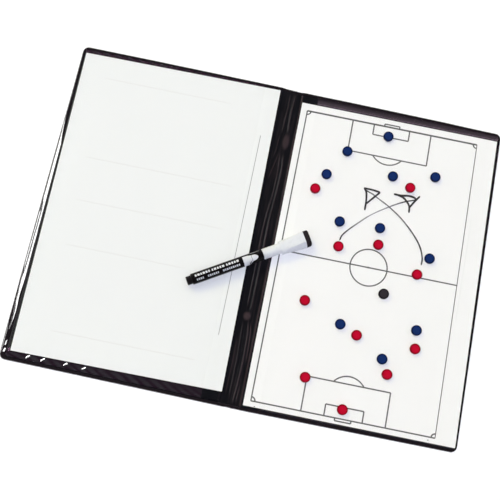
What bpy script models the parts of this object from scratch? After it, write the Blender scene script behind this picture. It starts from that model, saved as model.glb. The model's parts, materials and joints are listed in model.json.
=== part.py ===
"""Tactics folder: a welded PVC folder lying open, with a writing board on the left, a pitch board
on the right, magnetic counters and a dry-wipe marker with an eraser cap.

Frame: origin under the middle of the spine, on the table. +X points to the pitch side, +Y to the
top of the boards and +Z up. Lengths are metres, angles degrees.
"""

import math

import bmesh
import bpy
from mathutils import Matrix

# Open folder
COVER_WIDTH = 0.4310
COVER_HEIGHT = 0.3200
COVER_CORNER_RADIUS = 0.0060
CREASE_X = 0.0080
TOUCH_GAP = 0.0003

# Sheets in each cover, from the table up
OUTER_SKIN_THICKNESS = 0.0005
STIFFENER_THICKNESS = 0.0012
STEEL_THICKNESS = 0.0003
INNER_SKIN_THICKNESS = 0.0003
BOARD_THICKNESS = 0.0006
FILM_THICKNESS = 0.0002

# Weld bead round the three free sides of a cover, and the lower rim across the spine's ends
BEAD_WIDTH = 0.0030
BEAD_HEIGHT = 0.0022
BEAD_SHOULDER = 0.0007
BEAD_TRIM_BOTTOM = 0.0001
BEAD_TRIM_TOP = 0.00045
BEAD_START_X = 0.0096
SPINE_RIM_HEIGHT = 0.0014
SKIN_EDGE_INSET = 0.0003

# How far each layer stays inside the cover's outline, and from the middle of the spine
FILM_FOOT_INSET = 0.0034
FILM_SHOULDER_INSET = 0.0036
FILM_WALL_LEAN = 0.00002
INNER_SKIN_FOOT_INSET = 0.0039
INNER_SKIN_TOP_INSET = 0.00425
STIFFENER_INSET = 0.0048
STIFFENER_INNER_X = 0.0112
INNER_SKIN_FOOT_X = 0.00945
INNER_SKIN_TOP_X = 0.0109
FILM_EDGE_X = 0.0272
CREASE_SIDE_RADIUS = 0.0006

# Loose boards
BOARD_WIDTH = 0.1990
BOARD_HEIGHT = 0.3040
BOARD_CORNER_RADIUS = 0.0006
WRITING_BOARD_CENTRE = (-0.1099, 0.0033)
WRITING_BOARD_TURN = 0.45
PITCH_BOARD_CENTRE = (0.1117, -0.0041)
BOARD_TO_FILM_SIDE = 0.0004
FILM_STEP_RUN = 0.0012

# Spine's inner skin: a long outer and a long inner ridge each side of a middle groove
OUTER_RIDGE_X = 0.0059
INNER_RIDGE_X = 0.0024
RIDGE_SPREAD = 0.00085
RIDGE_HEIGHT = 0.0005
SPINE_STATIONS = 25

# Counters, at their places on the pitch
COUNTER_RADIUS = 0.0050
COUNTER_HEIGHT = 0.0030
COUNTER_BEVEL = 0.0004
COUNTER_SIDES = 24
BLUE_PLACES = [
    (0.1026, 0.1294),
    (0.0651, 0.1056),
    (0.0490, 0.0781),
    (0.1135, 0.0894),
    (0.1549, 0.0973),
    (0.0698, 0.0335),
    (0.1094, 0.0350),
    (0.1613, 0.0149),
    (0.0874, -0.0648),
    (0.1593, -0.0562),
    (0.1315, -0.0892),
]
RED_PLACES = [
    (0.0406, 0.0614),
    (0.1321, 0.0814),
    (0.0728, 0.0089),
    (0.1104, 0.0183),
    (0.1517, -0.0030),
    (0.0505, -0.0492),
    (0.1043, -0.0720),
    (0.1606, -0.0737),
    (0.1383, -0.1024),
    (0.0638, -0.1200),
    (0.1028, -0.1423),
]
BLACK_PLACES = [(0.1232, -0.0280)]

# Marker: it lies across both covers, its tail at MARKER_TAIL. Names with _AT are lengths from the tail.
MARKER_TAIL = (-0.0624, -0.0546)
MARKER_HEADING = 31.45
PLUG_RADIUS = 0.00425
PLUG_SPIGOT_LENGTH = 0.0045
BARREL_RADIUS = 0.0053
BARREL_BORE = 0.0043
BARREL_START_AT = 0.0048
BARREL_END_AT = 0.0763
SECTION_SPIGOT_LENGTH = 0.0095
SECTION_SLEEVE_LENGTH = 0.0075
SECTION_CONE_LENGTH = 0.0070
SECTION_CONE_RADIUS = 0.0032
SECTION_MOUTH_RADIUS = 0.0025
RESERVOIR_RADIUS = 0.0037
NIB_RADIUS = 0.0016
NIB_TAIL_LENGTH = 0.0033
NIB_TIP_AT = 0.0952
EDGE_SOFTENING = 0.0003

# Cap and the eraser on its end
CAP_RADIUS = 0.0052
CAP_BORE = 0.0044
CAP_END_AT = 0.0972
CAP_FLOOR_RADIUS = 0.0026
PEG_RADIUS = 0.0030
PEG_LENGTH = 0.0060
HOLDER_END_AT = 0.1202
HOLDER_COLLAR_LENGTH = 0.0016
HOLDER_COLLAR_WIDTH = 0.0129
HOLDER_PAD_WIDTH = 0.0155
HOLDER_THICKNESS = 0.0106
HOLDER_WAIST_DROP = 0.0005
HOLDER_COLLAR_ROUNDING = 0.0050
HOLDER_WAIST_ROUNDING = 0.0046
HOLDER_PAD_ROUNDING = 0.0022
HOLDER_FLARE_STEPS = 5
FELT_END_AT = 0.1252
FELT_CROWN = 0.0008
FELT_SIDE_DROP = 0.0002

# Rings of the felt's crown: place in crowns from its start, then shares of width, thickness and rounding
FELT_CROWN_RINGS = [
    (-0.6, 1.00, 1.00, 1.00),
    (0.0, 0.94, 0.91, 0.85),
    (0.6, 0.68, 0.54, 0.55),
    (1.0, 0.36, 0.20, 0.27),
]

CORNER_STEPS = 6
ROUND_SIDES = 28
SMOOTH_ANGLE = 35.0

# Heights that follow from the sheets
STIFFENER_BOTTOM = OUTER_SKIN_THICKNESS + TOUCH_GAP
STEEL_BOTTOM = STIFFENER_BOTTOM + STIFFENER_THICKNESS + TOUCH_GAP
STEEL_TOP = STEEL_BOTTOM + STEEL_THICKNESS
INNER_SKIN_FOOT = OUTER_SKIN_THICKNESS + TOUCH_GAP + INNER_SKIN_THICKNESS / 2
INNER_SKIN_MIDDLE = STEEL_TOP + TOUCH_GAP + INNER_SKIN_THICKNESS / 2
INNER_SKIN_TOP = INNER_SKIN_MIDDLE + INNER_SKIN_THICKNESS / 2
BOARD_BOTTOM = INNER_SKIN_TOP + TOUCH_GAP
BOARD_TOP = BOARD_BOTTOM + BOARD_THICKNESS
FILM_FOOT = 0.0018
FILM_SHOULDER = INNER_SKIN_TOP + TOUCH_GAP + FILM_THICKNESS / 2
FILM_MIDDLE = BOARD_TOP + TOUCH_GAP + FILM_THICKNESS / 2
FILM_TOP = FILM_MIDDLE + FILM_THICKNESS / 2
COUNTER_BOTTOM = FILM_TOP + TOUCH_GAP
MARKER_AXIS_Z = FILM_TOP + TOUCH_GAP + BARREL_RADIUS
HINGE_Z = OUTER_SKIN_THICKNESS / 2

# Lengths along the marker that follow from its pieces
PLUG_END_AT = BARREL_START_AT - TOUCH_GAP
PLUG_SPIGOT_AT = PLUG_END_AT + PLUG_SPIGOT_LENGTH
SPIGOT_RADIUS = BARREL_BORE - TOUCH_GAP
SECTION_TAIL_AT = BARREL_END_AT - SECTION_SPIGOT_LENGTH
CAP_MOUTH_AT = BARREL_END_AT + TOUCH_GAP
CAP_FLOOR_AT = NIB_TIP_AT + 0.0008


def clear_scene():
    for obj in list(bpy.data.objects):
        bpy.data.objects.remove(obj, do_unlink=True)


def surface(name, colour, roughness, metallic=0.0, alpha=1.0):
    """A Principled BSDF material of one colour."""
    made = bpy.data.materials.new(name)
    made.use_nodes = True
    shader = made.node_tree.nodes["Principled BSDF"]
    shader.inputs["Base Color"].default_value = (*colour, 1.0)
    shader.inputs["Roughness"].default_value = roughness
    shader.inputs["Metallic"].default_value = metallic
    shader.inputs["Alpha"].default_value = alpha
    made.diffuse_color = (*colour, alpha)
    return made


def folder_materials():
    return {
        "black_pvc": surface("black_pvc", (0.012, 0.010, 0.013), 0.28),
        "clear_film": surface("clear_film", (0.80, 0.80, 0.82), 0.12, alpha=0.18),
        "greyboard": surface("greyboard", (0.32, 0.30, 0.27), 0.90),
        "steel": surface("steel", (0.56, 0.57, 0.58), 0.35, metallic=1.0),
        "white_board": surface("white_board", (0.87, 0.88, 0.90), 0.35),
        "counter_blue": surface("counter_blue", (0.012, 0.024, 0.110), 0.45),
        "counter_red": surface("counter_red", (0.480, 0.004, 0.030), 0.45),
        "counter_black": surface("counter_black", (0.028, 0.026, 0.030), 0.50),
        "marker_black": surface("marker_black", (0.010, 0.010, 0.012), 0.25),
        "marker_white": surface("marker_white", (0.80, 0.81, 0.84), 0.30),
        "ink_fibre": surface("ink_fibre", (0.050, 0.050, 0.060), 0.95),
        "eraser_felt": surface("eraser_felt", (0.035, 0.025, 0.025), 0.95),
    }


def pivot(name, place, heading=0.0, parent=None):
    """An empty on a joint's axis, which the pieces of that moving body hang from."""
    empty = bpy.data.objects.new(name, None)
    empty.location = place
    empty.rotation_euler = (0.0, 0.0, math.radians(heading))
    empty.empty_display_size = 0.01
    empty.parent = parent
    bpy.context.collection.objects.link(empty)
    return empty


def add_object(name, bm, material, parent, smooth=False):
    """Store bm as an object that hangs from parent.

    bm is in the axes of whatever carries parent: the folder's own, or the marker's.
    """
    mesh = bpy.data.meshes.new(name)
    bm.to_mesh(mesh)
    bm.free()
    mesh.transform(Matrix.Translation(-parent.location))
    if smooth:
        mesh.shade_smooth()
        mesh.set_sharp_from_angle(angle=math.radians(SMOOTH_ANGLE))
    if material:
        mesh.materials.append(material)
    obj = bpy.data.objects.new(name, mesh)
    obj.parent = parent
    bpy.context.collection.objects.link(obj)
    return obj


def combine(obj, helper, operation):
    """Join helper to obj or cut it away, and keep it out of the model."""
    helper.hide_render = True
    helper.display_type = "WIRE"
    modifier = obj.modifiers.new(helper.name, "BOOLEAN")
    modifier.operation = operation
    modifier.object = helper


def thicken(obj, thickness):
    """Give a formed sheet its thickness, half to each side."""
    modifier = obj.modifiers.new("sheet", "SOLIDIFY")
    modifier.thickness = thickness
    modifier.offset = 0.0
    modifier.use_even_offset = True


def corner_arc(centre, radius, start_degrees):
    """Points of a quarter circle, anticlockwise from start_degrees."""
    points = []
    for step in range(CORNER_STEPS + 1):
        angle = math.radians(start_degrees + 90.0 * step / CORNER_STEPS)
        points.append((centre[0] + radius * math.cos(angle), centre[1] + radius * math.sin(angle)))
    return points


def rounded_rectangle(x_range, y_range, low_radius, high_radius):
    """A closed anticlockwise outline. Its corners at low x and at high x have their own radii."""
    x_low, x_high = x_range
    y_low, y_high = y_range
    low = low_radius
    high = high_radius
    outline = corner_arc((x_high - high, y_low + high), high, 270)
    outline += corner_arc((x_high - high, y_high - high), high, 0)
    outline += corner_arc((x_low + low, y_high - low), low, 90)
    outline += corner_arc((x_low + low, y_low + low), low, 180)
    return outline


def centred_rectangle(width, height, radius):
    return rounded_rectangle((-width / 2, width / 2), (-height / 2, height / 2), radius, radius)


def cover_outline(inner_x, inset):
    """A right-hand cover's outline, brought in by inset on its three free sides."""
    y_reach = COVER_HEIGHT / 2 - inset
    outer_radius = max(COVER_CORNER_RADIUS - inset, CREASE_SIDE_RADIUS)
    x_range = (inner_x, COVER_WIDTH / 2 - inset)
    return rounded_rectangle(x_range, (-y_reach, y_reach), CREASE_SIDE_RADIUS, outer_radius)


def free_sides(inner_x, insets, radius):
    """A line round a right-hand cover's three free sides, from the spine to the spine again.

    insets is how far the outer, lower and upper sides lie inside the cover's own outline.
    """
    outer, lower, upper = insets
    x_outer = COVER_WIDTH / 2 - outer
    y_low = -COVER_HEIGHT / 2 + lower
    y_high = COVER_HEIGHT / 2 - upper
    line = [(inner_x, y_low)]
    line += corner_arc((x_outer - radius, y_low + radius), radius, 270)
    line += corner_arc((x_outer - radius, y_high - radius), radius, 0)
    line.append((inner_x, y_high))
    return line


def at_height(outline, z):
    return [(x, y, z) for x, y in outline]


def loft(rings, closed=True, cap_start=True, cap_end=True):
    """Faces between rings of 3-D points, and over the first and last ring where asked."""
    bm = bmesh.new()
    rows = [[bm.verts.new(point) for point in ring] for ring in rings]
    count = len(rows[0])
    for low, high in zip(rows, rows[1:]):
        for step in range(count if closed else count - 1):
            after = (step + 1) % count
            bm.faces.new((low[step], low[after], high[after], high[step]))
    if cap_start:
        bm.faces.new(list(reversed(rows[0])))
    if cap_end:
        bm.faces.new(rows[-1])
    bmesh.ops.recalc_face_normals(bm, faces=bm.faces)
    return bm


def plate(outline, bottom, top):
    """A flat sheet of the given outline."""
    return loft([at_height(outline, bottom), at_height(outline, top)])


def mirrored(bm, side):
    """Turn a right-hand shape into a left-hand one where side is -1."""
    if side < 0:
        bmesh.ops.scale(bm, vec=(-1, 1, 1), verts=bm.verts)
        bmesh.ops.reverse_faces(bm, faces=bm.faces)
    return bm


def turned(profile, sides=ROUND_SIDES, axis=(1, 0, 0)):
    """A solid of revolution about axis, which is +X or +Z. profile is (along, radius) points.

    The profile starts and ends on the axis, or comes back to its first point round a bore.
    """
    upright = axis == (0, 0, 1)
    bm = bmesh.new()
    points = []
    for along, radius in profile:
        points.append(bm.verts.new((radius, 0, along) if upright else (along, 0, radius)))
    for first, second in zip(points, points[1:]):
        bm.edges.new((first, second))
    bmesh.ops.spin(
        bm,
        geom=bm.verts[:] + bm.edges[:],
        cent=(0, 0, 0),
        axis=axis,
        angle=math.tau,
        steps=sides,
        use_merge=True,
    )
    bmesh.ops.remove_doubles(bm, verts=bm.verts, dist=1e-6)
    bmesh.ops.recalc_face_normals(bm, faces=bm.faces)
    return bm


# Weld bead and spine rims


def bead_section(height):
    """The weld's section as (inset, z) points: low at the outer edge, rounded over, steep inside."""
    points = [(SKIN_EDGE_INSET, BEAD_TRIM_BOTTOM), (0.0, BEAD_TRIM_TOP)]
    for degrees in range(170, -1, -34):
        angle = math.radians(degrees)
        inset = BEAD_WIDTH / 2 * (1 + math.cos(angle))
        points.append((inset, BEAD_SHOULDER + (height - BEAD_SHOULDER) * math.sin(angle)))
    points.append((BEAD_WIDTH, OUTER_SKIN_THICKNESS / 2))
    return points


def cover_bead(side):
    """The bead along the three free sides of a cover, swept round its two corners."""
    lines = []
    for inset, height in bead_section(BEAD_HEIGHT):
        line = free_sides(BEAD_START_X, [inset] * 3, COVER_CORNER_RADIUS - inset)
        lines.append(at_height(line, height))
    return mirrored(loft([list(ring) for ring in zip(*lines)]), side)


def spine_rim(end):
    """The lower rim across one end of the spine. end is 1 at the top and -1 at the bottom."""
    reach = CREASE_X - TOUCH_GAP
    section = bead_section(SPINE_RIM_HEIGHT)
    rings = []
    for x in (-reach, reach):
        rings.append([(x, end * (COVER_HEIGHT / 2 - inset), z) for inset, z in section])
    return loft(rings)


# Layers of a cover


def inner_skin(side):
    """Inner PVC, formed over the panel like a shallow tray turned upside down."""
    foot = at_height(cover_outline(INNER_SKIN_FOOT_X, INNER_SKIN_FOOT_INSET), INNER_SKIN_FOOT)
    top = at_height(cover_outline(INNER_SKIN_TOP_X, INNER_SKIN_TOP_INSET), INNER_SKIN_MIDDLE)
    return mirrored(loft([foot, top], cap_start=False), side)


def panel(bottom, top, side):
    """A flat layer sealed inside a cover."""
    return mirrored(plate(cover_outline(STIFFENER_INNER_X, STIFFENER_INSET), bottom, top), side)


def board(centre, turn_degrees):
    """A loose board, laid in the pocket a little askew."""
    bm = plate(centred_rectangle(BOARD_WIDTH, BOARD_HEIGHT, BOARD_CORNER_RADIUS), BOARD_BOTTOM, BOARD_TOP)
    turn = Matrix.Rotation(math.radians(turn_degrees), 4, "Z")
    bm.transform(Matrix.Translation((*centre, 0)) @ turn)
    return bm


def board_margins(centre, turn_degrees):
    """How far a board's outer, lower and upper edges lie inside the cover's outline, at their nearest."""
    turn = math.radians(turn_degrees)
    outer = COVER_WIDTH / 2 - abs(centre[0]) - BOARD_WIDTH / 2 - BOARD_HEIGHT / 2 * math.sin(turn)
    ends = COVER_HEIGHT / 2 - BOARD_HEIGHT / 2 - BOARD_WIDTH / 2 * math.sin(turn)
    return outer, ends + centre[1], ends - centre[1]


def film_ring(insets, heights, radius):
    """One line round the film's three welded sides. insets and heights are (outer, lower, upper)."""
    outer, lower, upper = heights
    levels = [lower]
    for start, finish in ((lower, outer), (outer, upper)):
        levels += [start + (finish - start) * step / CORNER_STEPS for step in range(CORNER_STEPS + 1)]
    levels.append(upper)
    line = free_sides(FILM_EDGE_X, insets, radius)
    return [(x, y, z) for (x, y), z in zip(line, levels)]


def pocket_film(margins, side):
    """Clear film: it rises from the weld, lies on the inner skin and steps up over the board.

    Where the board lies close to the weld, the film rises beside it in one wall.
    """
    lip = [margin - BOARD_TO_FILM_SIDE for margin in margins]
    shoulders = []
    ledges = []
    ledge_heights = []
    for inset in lip:
        if inset < FILM_SHOULDER_INSET + FILM_STEP_RUN:
            shoulders.append(FILM_FOOT_INSET + FILM_WALL_LEAN)
            ledges.append(FILM_FOOT_INSET + 2 * FILM_WALL_LEAN)
            ledge_heights.append((FILM_SHOULDER + FILM_MIDDLE) / 2)
        else:
            shoulders.append(FILM_SHOULDER_INSET)
            ledges.append(inset - FILM_STEP_RUN)
            ledge_heights.append(FILM_SHOULDER)
    foot_radius = COVER_CORNER_RADIUS - FILM_FOOT_INSET
    rings = [
        film_ring([FILM_FOOT_INSET] * 3, [FILM_FOOT] * 3, foot_radius),
        film_ring(shoulders, [FILM_SHOULDER] * 3, foot_radius),
        film_ring(ledges, ledge_heights, foot_radius),
        film_ring(lip, [FILM_MIDDLE] * 3, BOARD_CORNER_RADIUS + BOARD_TO_FILM_SIDE),
    ]
    return mirrored(loft(rings, closed=False, cap_start=False), side)


def build_cover(name, side, materials, crease):
    """A cover's two skins and its panel, hung from its crease. The right-hand one holds steel."""
    outline = cover_outline(CREASE_X + TOUCH_GAP, SKIN_EDGE_INSET)
    skin_plate = mirrored(plate(outline, 0, OUTER_SKIN_THICKNESS), side)
    outer = add_object(f"{name}_outer_skin", skin_plate, materials["black_pvc"], crease)
    bead = add_object(f"{name}_weld_bead", cover_bead(side), None, crease)
    combine(outer, bead, "UNION")

    holds_steel = side > 0
    stiffener_top = STIFFENER_BOTTOM + STIFFENER_THICKNESS if holds_steel else STEEL_TOP
    stiffener = panel(STIFFENER_BOTTOM, stiffener_top, side)
    add_object(f"{name}_stiffener", stiffener, materials["greyboard"], crease)
    if holds_steel:
        add_object(f"{name}_steel_sheet", panel(STEEL_BOTTOM, STEEL_TOP, side), materials["steel"], crease)

    inner = add_object(f"{name}_inner_skin", inner_skin(side), materials["black_pvc"], crease)
    thicken(inner, INNER_SKIN_THICKNESS)


def build_pocket(crease, board_name, centre, turn_degrees, materials):
    """A loose board and the clear pocket that holds it, on the side where the board lies."""
    side = math.copysign(1, centre[0])
    name = "right" if side > 0 else "left"
    shape = pocket_film(board_margins(centre, turn_degrees), side)
    film = add_object(f"{name}_pocket_film", shape, materials["clear_film"], crease)
    thicken(film, FILM_THICKNESS)
    add_object(board_name, board(centre, turn_degrees), materials["white_board"], crease)


# Spine


def ridge(x, place):
    """Rise of one long ridge of the spine's inner skin, the same on both sides of the middle."""
    return RIDGE_HEIGHT * math.exp(-(((abs(x) - place) / RIDGE_SPREAD) ** 2))


def spine_inner_sheet():
    """The soft skin between the creases, as a sheet with its long ridges."""
    x_reach = CREASE_X - 2 * TOUCH_GAP
    y_reach = COVER_HEIGHT / 2 - BEAD_WIDTH - 2 * TOUCH_GAP
    rings = []
    for y in (-y_reach, y_reach):
        ring = []
        for station in range(SPINE_STATIONS):
            x = x_reach * (2 * station / (SPINE_STATIONS - 1) - 1)
            ring.append((x, y, INNER_SKIN_FOOT + ridge(x, OUTER_RIDGE_X) + ridge(x, INNER_RIDGE_X)))
        rings.append(ring)
    return loft(rings, closed=False, cap_start=False, cap_end=False)


def build_spine(materials):
    middle = pivot("spine_middle", (0, 0, 0))
    width = 2 * (CREASE_X - TOUCH_GAP)
    height = COVER_HEIGHT - 2 * SKIN_EDGE_INSET
    flat = plate(centred_rectangle(width, height, CREASE_SIDE_RADIUS), 0, OUTER_SKIN_THICKNESS)
    outer = add_object("spine_outer_skin", flat, materials["black_pvc"], middle)
    for end, label in ((1, "top"), (-1, "bottom")):
        rim = add_object(f"spine_rim_{label}", spine_rim(end), None, middle)
        combine(outer, rim, "UNION")
    inner = add_object("spine_inner_skin", spine_inner_sheet(), materials["black_pvc"], middle, smooth=True)
    thicken(inner, INNER_SKIN_THICKNESS)


# Counters


def counter_shape():
    """A flat magnetic disc with softened edges, standing on its own origin."""
    face_radius = COUNTER_RADIUS - COUNTER_BEVEL
    profile = [
        (0, 0),
        (0, face_radius),
        (COUNTER_BEVEL, COUNTER_RADIUS),
        (COUNTER_HEIGHT - COUNTER_BEVEL, COUNTER_RADIUS),
        (COUNTER_HEIGHT - COUNTER_BEVEL * 0.3, COUNTER_RADIUS - COUNTER_BEVEL * 0.3),
        (COUNTER_HEIGHT, face_radius),
        (COUNTER_HEIGHT, 0),
    ]
    return turned(profile, COUNTER_SIDES, axis=(0, 0, 1))


def build_counters(materials, colour, places):
    """One colour's counters, which share one mesh."""
    mesh = bpy.data.meshes.new(f"counter_{colour}")
    shape = counter_shape()
    shape.to_mesh(mesh)
    shape.free()
    mesh.shade_smooth()
    mesh.set_sharp_from_angle(angle=math.radians(SMOOTH_ANGLE))
    mesh.materials.append(materials[f"counter_{colour}"])
    for number, (x, y) in enumerate(places, 1):
        counter = bpy.data.objects.new(f"counter_{colour}_{number:02d}", mesh)
        counter.location = (x, y, COUNTER_BOTTOM)
        bpy.context.collection.objects.link(counter)


# Marker, along +X of its own axes


def end_plug():
    return turned([
        (0, 0),
        (0, PLUG_RADIUS - 2 * EDGE_SOFTENING),
        (2 * EDGE_SOFTENING, PLUG_RADIUS),
        (PLUG_END_AT, PLUG_RADIUS),
        (PLUG_END_AT, SPIGOT_RADIUS),
        (PLUG_SPIGOT_AT, SPIGOT_RADIUS),
        (PLUG_SPIGOT_AT, 0),
    ])


def barrel():
    """A tube, more rounded at its tail than at the cap's end."""
    return turned([
        (BARREL_START_AT, BARREL_BORE),
        (BARREL_START_AT, BARREL_RADIUS - 2.5 * EDGE_SOFTENING),
        (BARREL_START_AT + 3 * EDGE_SOFTENING, BARREL_RADIUS),
        (BARREL_END_AT - EDGE_SOFTENING, BARREL_RADIUS),
        (BARREL_END_AT, BARREL_RADIUS - EDGE_SOFTENING),
        (BARREL_END_AT, BARREL_BORE),
        (BARREL_START_AT, BARREL_BORE),
    ])


def ink_reservoir():
    start = PLUG_SPIGOT_AT + TOUCH_GAP
    end = SECTION_TAIL_AT - NIB_TAIL_LENGTH - TOUCH_GAP
    return turned([(start, 0), (start, RESERVOIR_RADIUS), (end, RESERVOIR_RADIUS), (end, 0)])


def nib_section():
    """The holder of the nib: a spigot in the barrel, a sleeve that the cap grips and a cone."""
    bore = NIB_RADIUS + TOUCH_GAP
    sleeve = CAP_BORE - TOUCH_GAP
    sleeve_end = CAP_MOUTH_AT + SECTION_SLEEVE_LENGTH
    mouth = sleeve_end + SECTION_CONE_LENGTH
    return turned([
        (SECTION_TAIL_AT, bore),
        (SECTION_TAIL_AT, SPIGOT_RADIUS),
        (CAP_MOUTH_AT, SPIGOT_RADIUS),
        (CAP_MOUTH_AT, sleeve),
        (sleeve_end, sleeve),
        (sleeve_end + 0.25 * SECTION_CONE_LENGTH, SECTION_CONE_RADIUS),
        (mouth, SECTION_MOUTH_RADIUS),
        (mouth, bore),
        (SECTION_TAIL_AT, bore),
    ])


def nib():
    """A fibre rod with a bullet tip. Its tail stands in the reservoir's end."""
    tail = SECTION_TAIL_AT - NIB_TAIL_LENGTH
    return turned([
        (tail, 0),
        (tail, NIB_RADIUS),
        (NIB_TIP_AT - 1.4 * NIB_RADIUS, NIB_RADIUS),
        (NIB_TIP_AT - 0.5 * NIB_RADIUS, 0.75 * NIB_RADIUS),
        (NIB_TIP_AT, 0.3 * NIB_RADIUS),
        (NIB_TIP_AT, 0),
    ])


def cap():
    """A hollow cap. The peg on its closed end carries the eraser holder."""
    peg_end = CAP_END_AT + PEG_LENGTH
    return turned([
        (CAP_FLOOR_AT, 0),
        (CAP_FLOOR_AT, CAP_FLOOR_RADIUS),
        (CAP_FLOOR_AT - (CAP_BORE - CAP_FLOOR_RADIUS), CAP_BORE),
        (CAP_MOUTH_AT, CAP_BORE),
        (CAP_MOUTH_AT, CAP_RADIUS - EDGE_SOFTENING),
        (CAP_MOUTH_AT + EDGE_SOFTENING, CAP_RADIUS),
        (CAP_END_AT, CAP_RADIUS),
        (CAP_END_AT, PEG_RADIUS),
        (peg_end, PEG_RADIUS),
        (peg_end, 0),
    ])


def across_marker(along, width, thickness, radius):
    """A rounded rectangle square to the marker, at a length along it."""
    return [(along, y, z) for y, z in centred_rectangle(width, thickness, radius)]


def eraser_holder():
    """Moulded holder: a round-shouldered collar at the cap, then a flare from round to flat."""
    start = CAP_END_AT + TOUCH_GAP
    collar_end = start + HOLDER_COLLAR_LENGTH
    waist = collar_end + EDGE_SOFTENING
    waist_width = HOLDER_COLLAR_WIDTH - HOLDER_WAIST_DROP
    waist_thickness = HOLDER_THICKNESS - HOLDER_WAIST_DROP
    shoulder = start + EDGE_SOFTENING
    shoulder_drop = 2 * EDGE_SOFTENING
    rings = [
        across_marker(
            start,
            HOLDER_COLLAR_WIDTH - shoulder_drop,
            HOLDER_THICKNESS - shoulder_drop,
            HOLDER_COLLAR_ROUNDING - EDGE_SOFTENING,
        ),
        across_marker(shoulder, HOLDER_COLLAR_WIDTH, HOLDER_THICKNESS, HOLDER_COLLAR_ROUNDING),
        across_marker(collar_end, HOLDER_COLLAR_WIDTH, HOLDER_THICKNESS, HOLDER_COLLAR_ROUNDING),
    ]
    for step in range(HOLDER_FLARE_STEPS + 1):
        share = step / HOLDER_FLARE_STEPS
        eased = share * share * (3 - 2 * share)
        rings.append(across_marker(
            waist + (HOLDER_END_AT - waist) * share,
            waist_width + (HOLDER_PAD_WIDTH - waist_width) * eased,
            waist_thickness + HOLDER_WAIST_DROP * share,
            HOLDER_WAIST_ROUNDING + (HOLDER_PAD_ROUNDING - HOLDER_WAIST_ROUNDING) * share,
        ))
    return loft(rings)


def holder_socket():
    """The blind hole in the eraser holder that takes the cap's peg."""
    radius = PEG_RADIUS + TOUCH_GAP
    start = CAP_END_AT - TOUCH_GAP
    floor = CAP_END_AT + PEG_LENGTH + TOUCH_GAP
    return turned([(start, 0), (start, radius), (floor, radius), (floor, 0)])


def eraser_felt():
    """Felt pad glued to the holder's end, its wiping face crowned."""
    width = HOLDER_PAD_WIDTH - FELT_SIDE_DROP
    thickness = HOLDER_THICKNESS - FELT_SIDE_DROP
    crown_start = FELT_END_AT - FELT_CROWN
    rings = [across_marker(HOLDER_END_AT + TOUCH_GAP, width, thickness, HOLDER_PAD_ROUNDING)]
    for place, wide, thick, rounding in FELT_CROWN_RINGS:
        rings.append(across_marker(
            crown_start + place * FELT_CROWN,
            wide * width,
            thick * thickness,
            rounding * HOLDER_PAD_ROUNDING,
        ))
    return loft(rings)


def build_marker(materials):
    """The marker lies on both covers. What pulls off with its cap hangs from a second empty."""
    axis = pivot("marker_axis", (*MARKER_TAIL, MARKER_AXIS_Z), MARKER_HEADING)
    body = pivot("marker_body_axis", (0, 0, 0), parent=axis)
    mouth = pivot("marker_cap_axis", (CAP_MOUTH_AT, 0, 0), parent=axis)
    black = materials["marker_black"]
    white = materials["marker_white"]
    add_object("marker_end_plug", end_plug(), black, body, smooth=True)
    add_object("marker_barrel", barrel(), black, body, smooth=True)
    add_object("marker_ink_reservoir", ink_reservoir(), materials["ink_fibre"], body, smooth=True)
    add_object("marker_nib_section", nib_section(), black, body, smooth=True)
    add_object("marker_nib", nib(), materials["ink_fibre"], body, smooth=True)
    add_object("marker_cap", cap(), white, mouth, smooth=True)
    holder = add_object("marker_eraser_holder", eraser_holder(), white, mouth, smooth=True)
    combine(holder, add_object("eraser_holder_socket", holder_socket(), None, mouth), "DIFFERENCE")
    add_object("marker_eraser_felt", eraser_felt(), materials["eraser_felt"], mouth, smooth=True)


def main():
    clear_scene()
    materials = folder_materials()
    build_spine(materials)
    left = pivot("left_crease", (-CREASE_X, 0, HINGE_Z))
    right = pivot("right_crease", (CREASE_X, 0, HINGE_Z))
    build_cover("left", -1, materials, left)
    build_cover("right", 1, materials, right)
    build_pocket(left, "left_writing_board", WRITING_BOARD_CENTRE, WRITING_BOARD_TURN, materials)
    build_pocket(right, "right_pitch_board", PITCH_BOARD_CENTRE, 0.0, materials)
    build_counters(materials, "blue", BLUE_PLACES)
    build_counters(materials, "red", RED_PLACES)
    build_counters(materials, "black", BLACK_PLACES)
    build_marker(materials)


main()
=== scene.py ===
import json
import math

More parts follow.
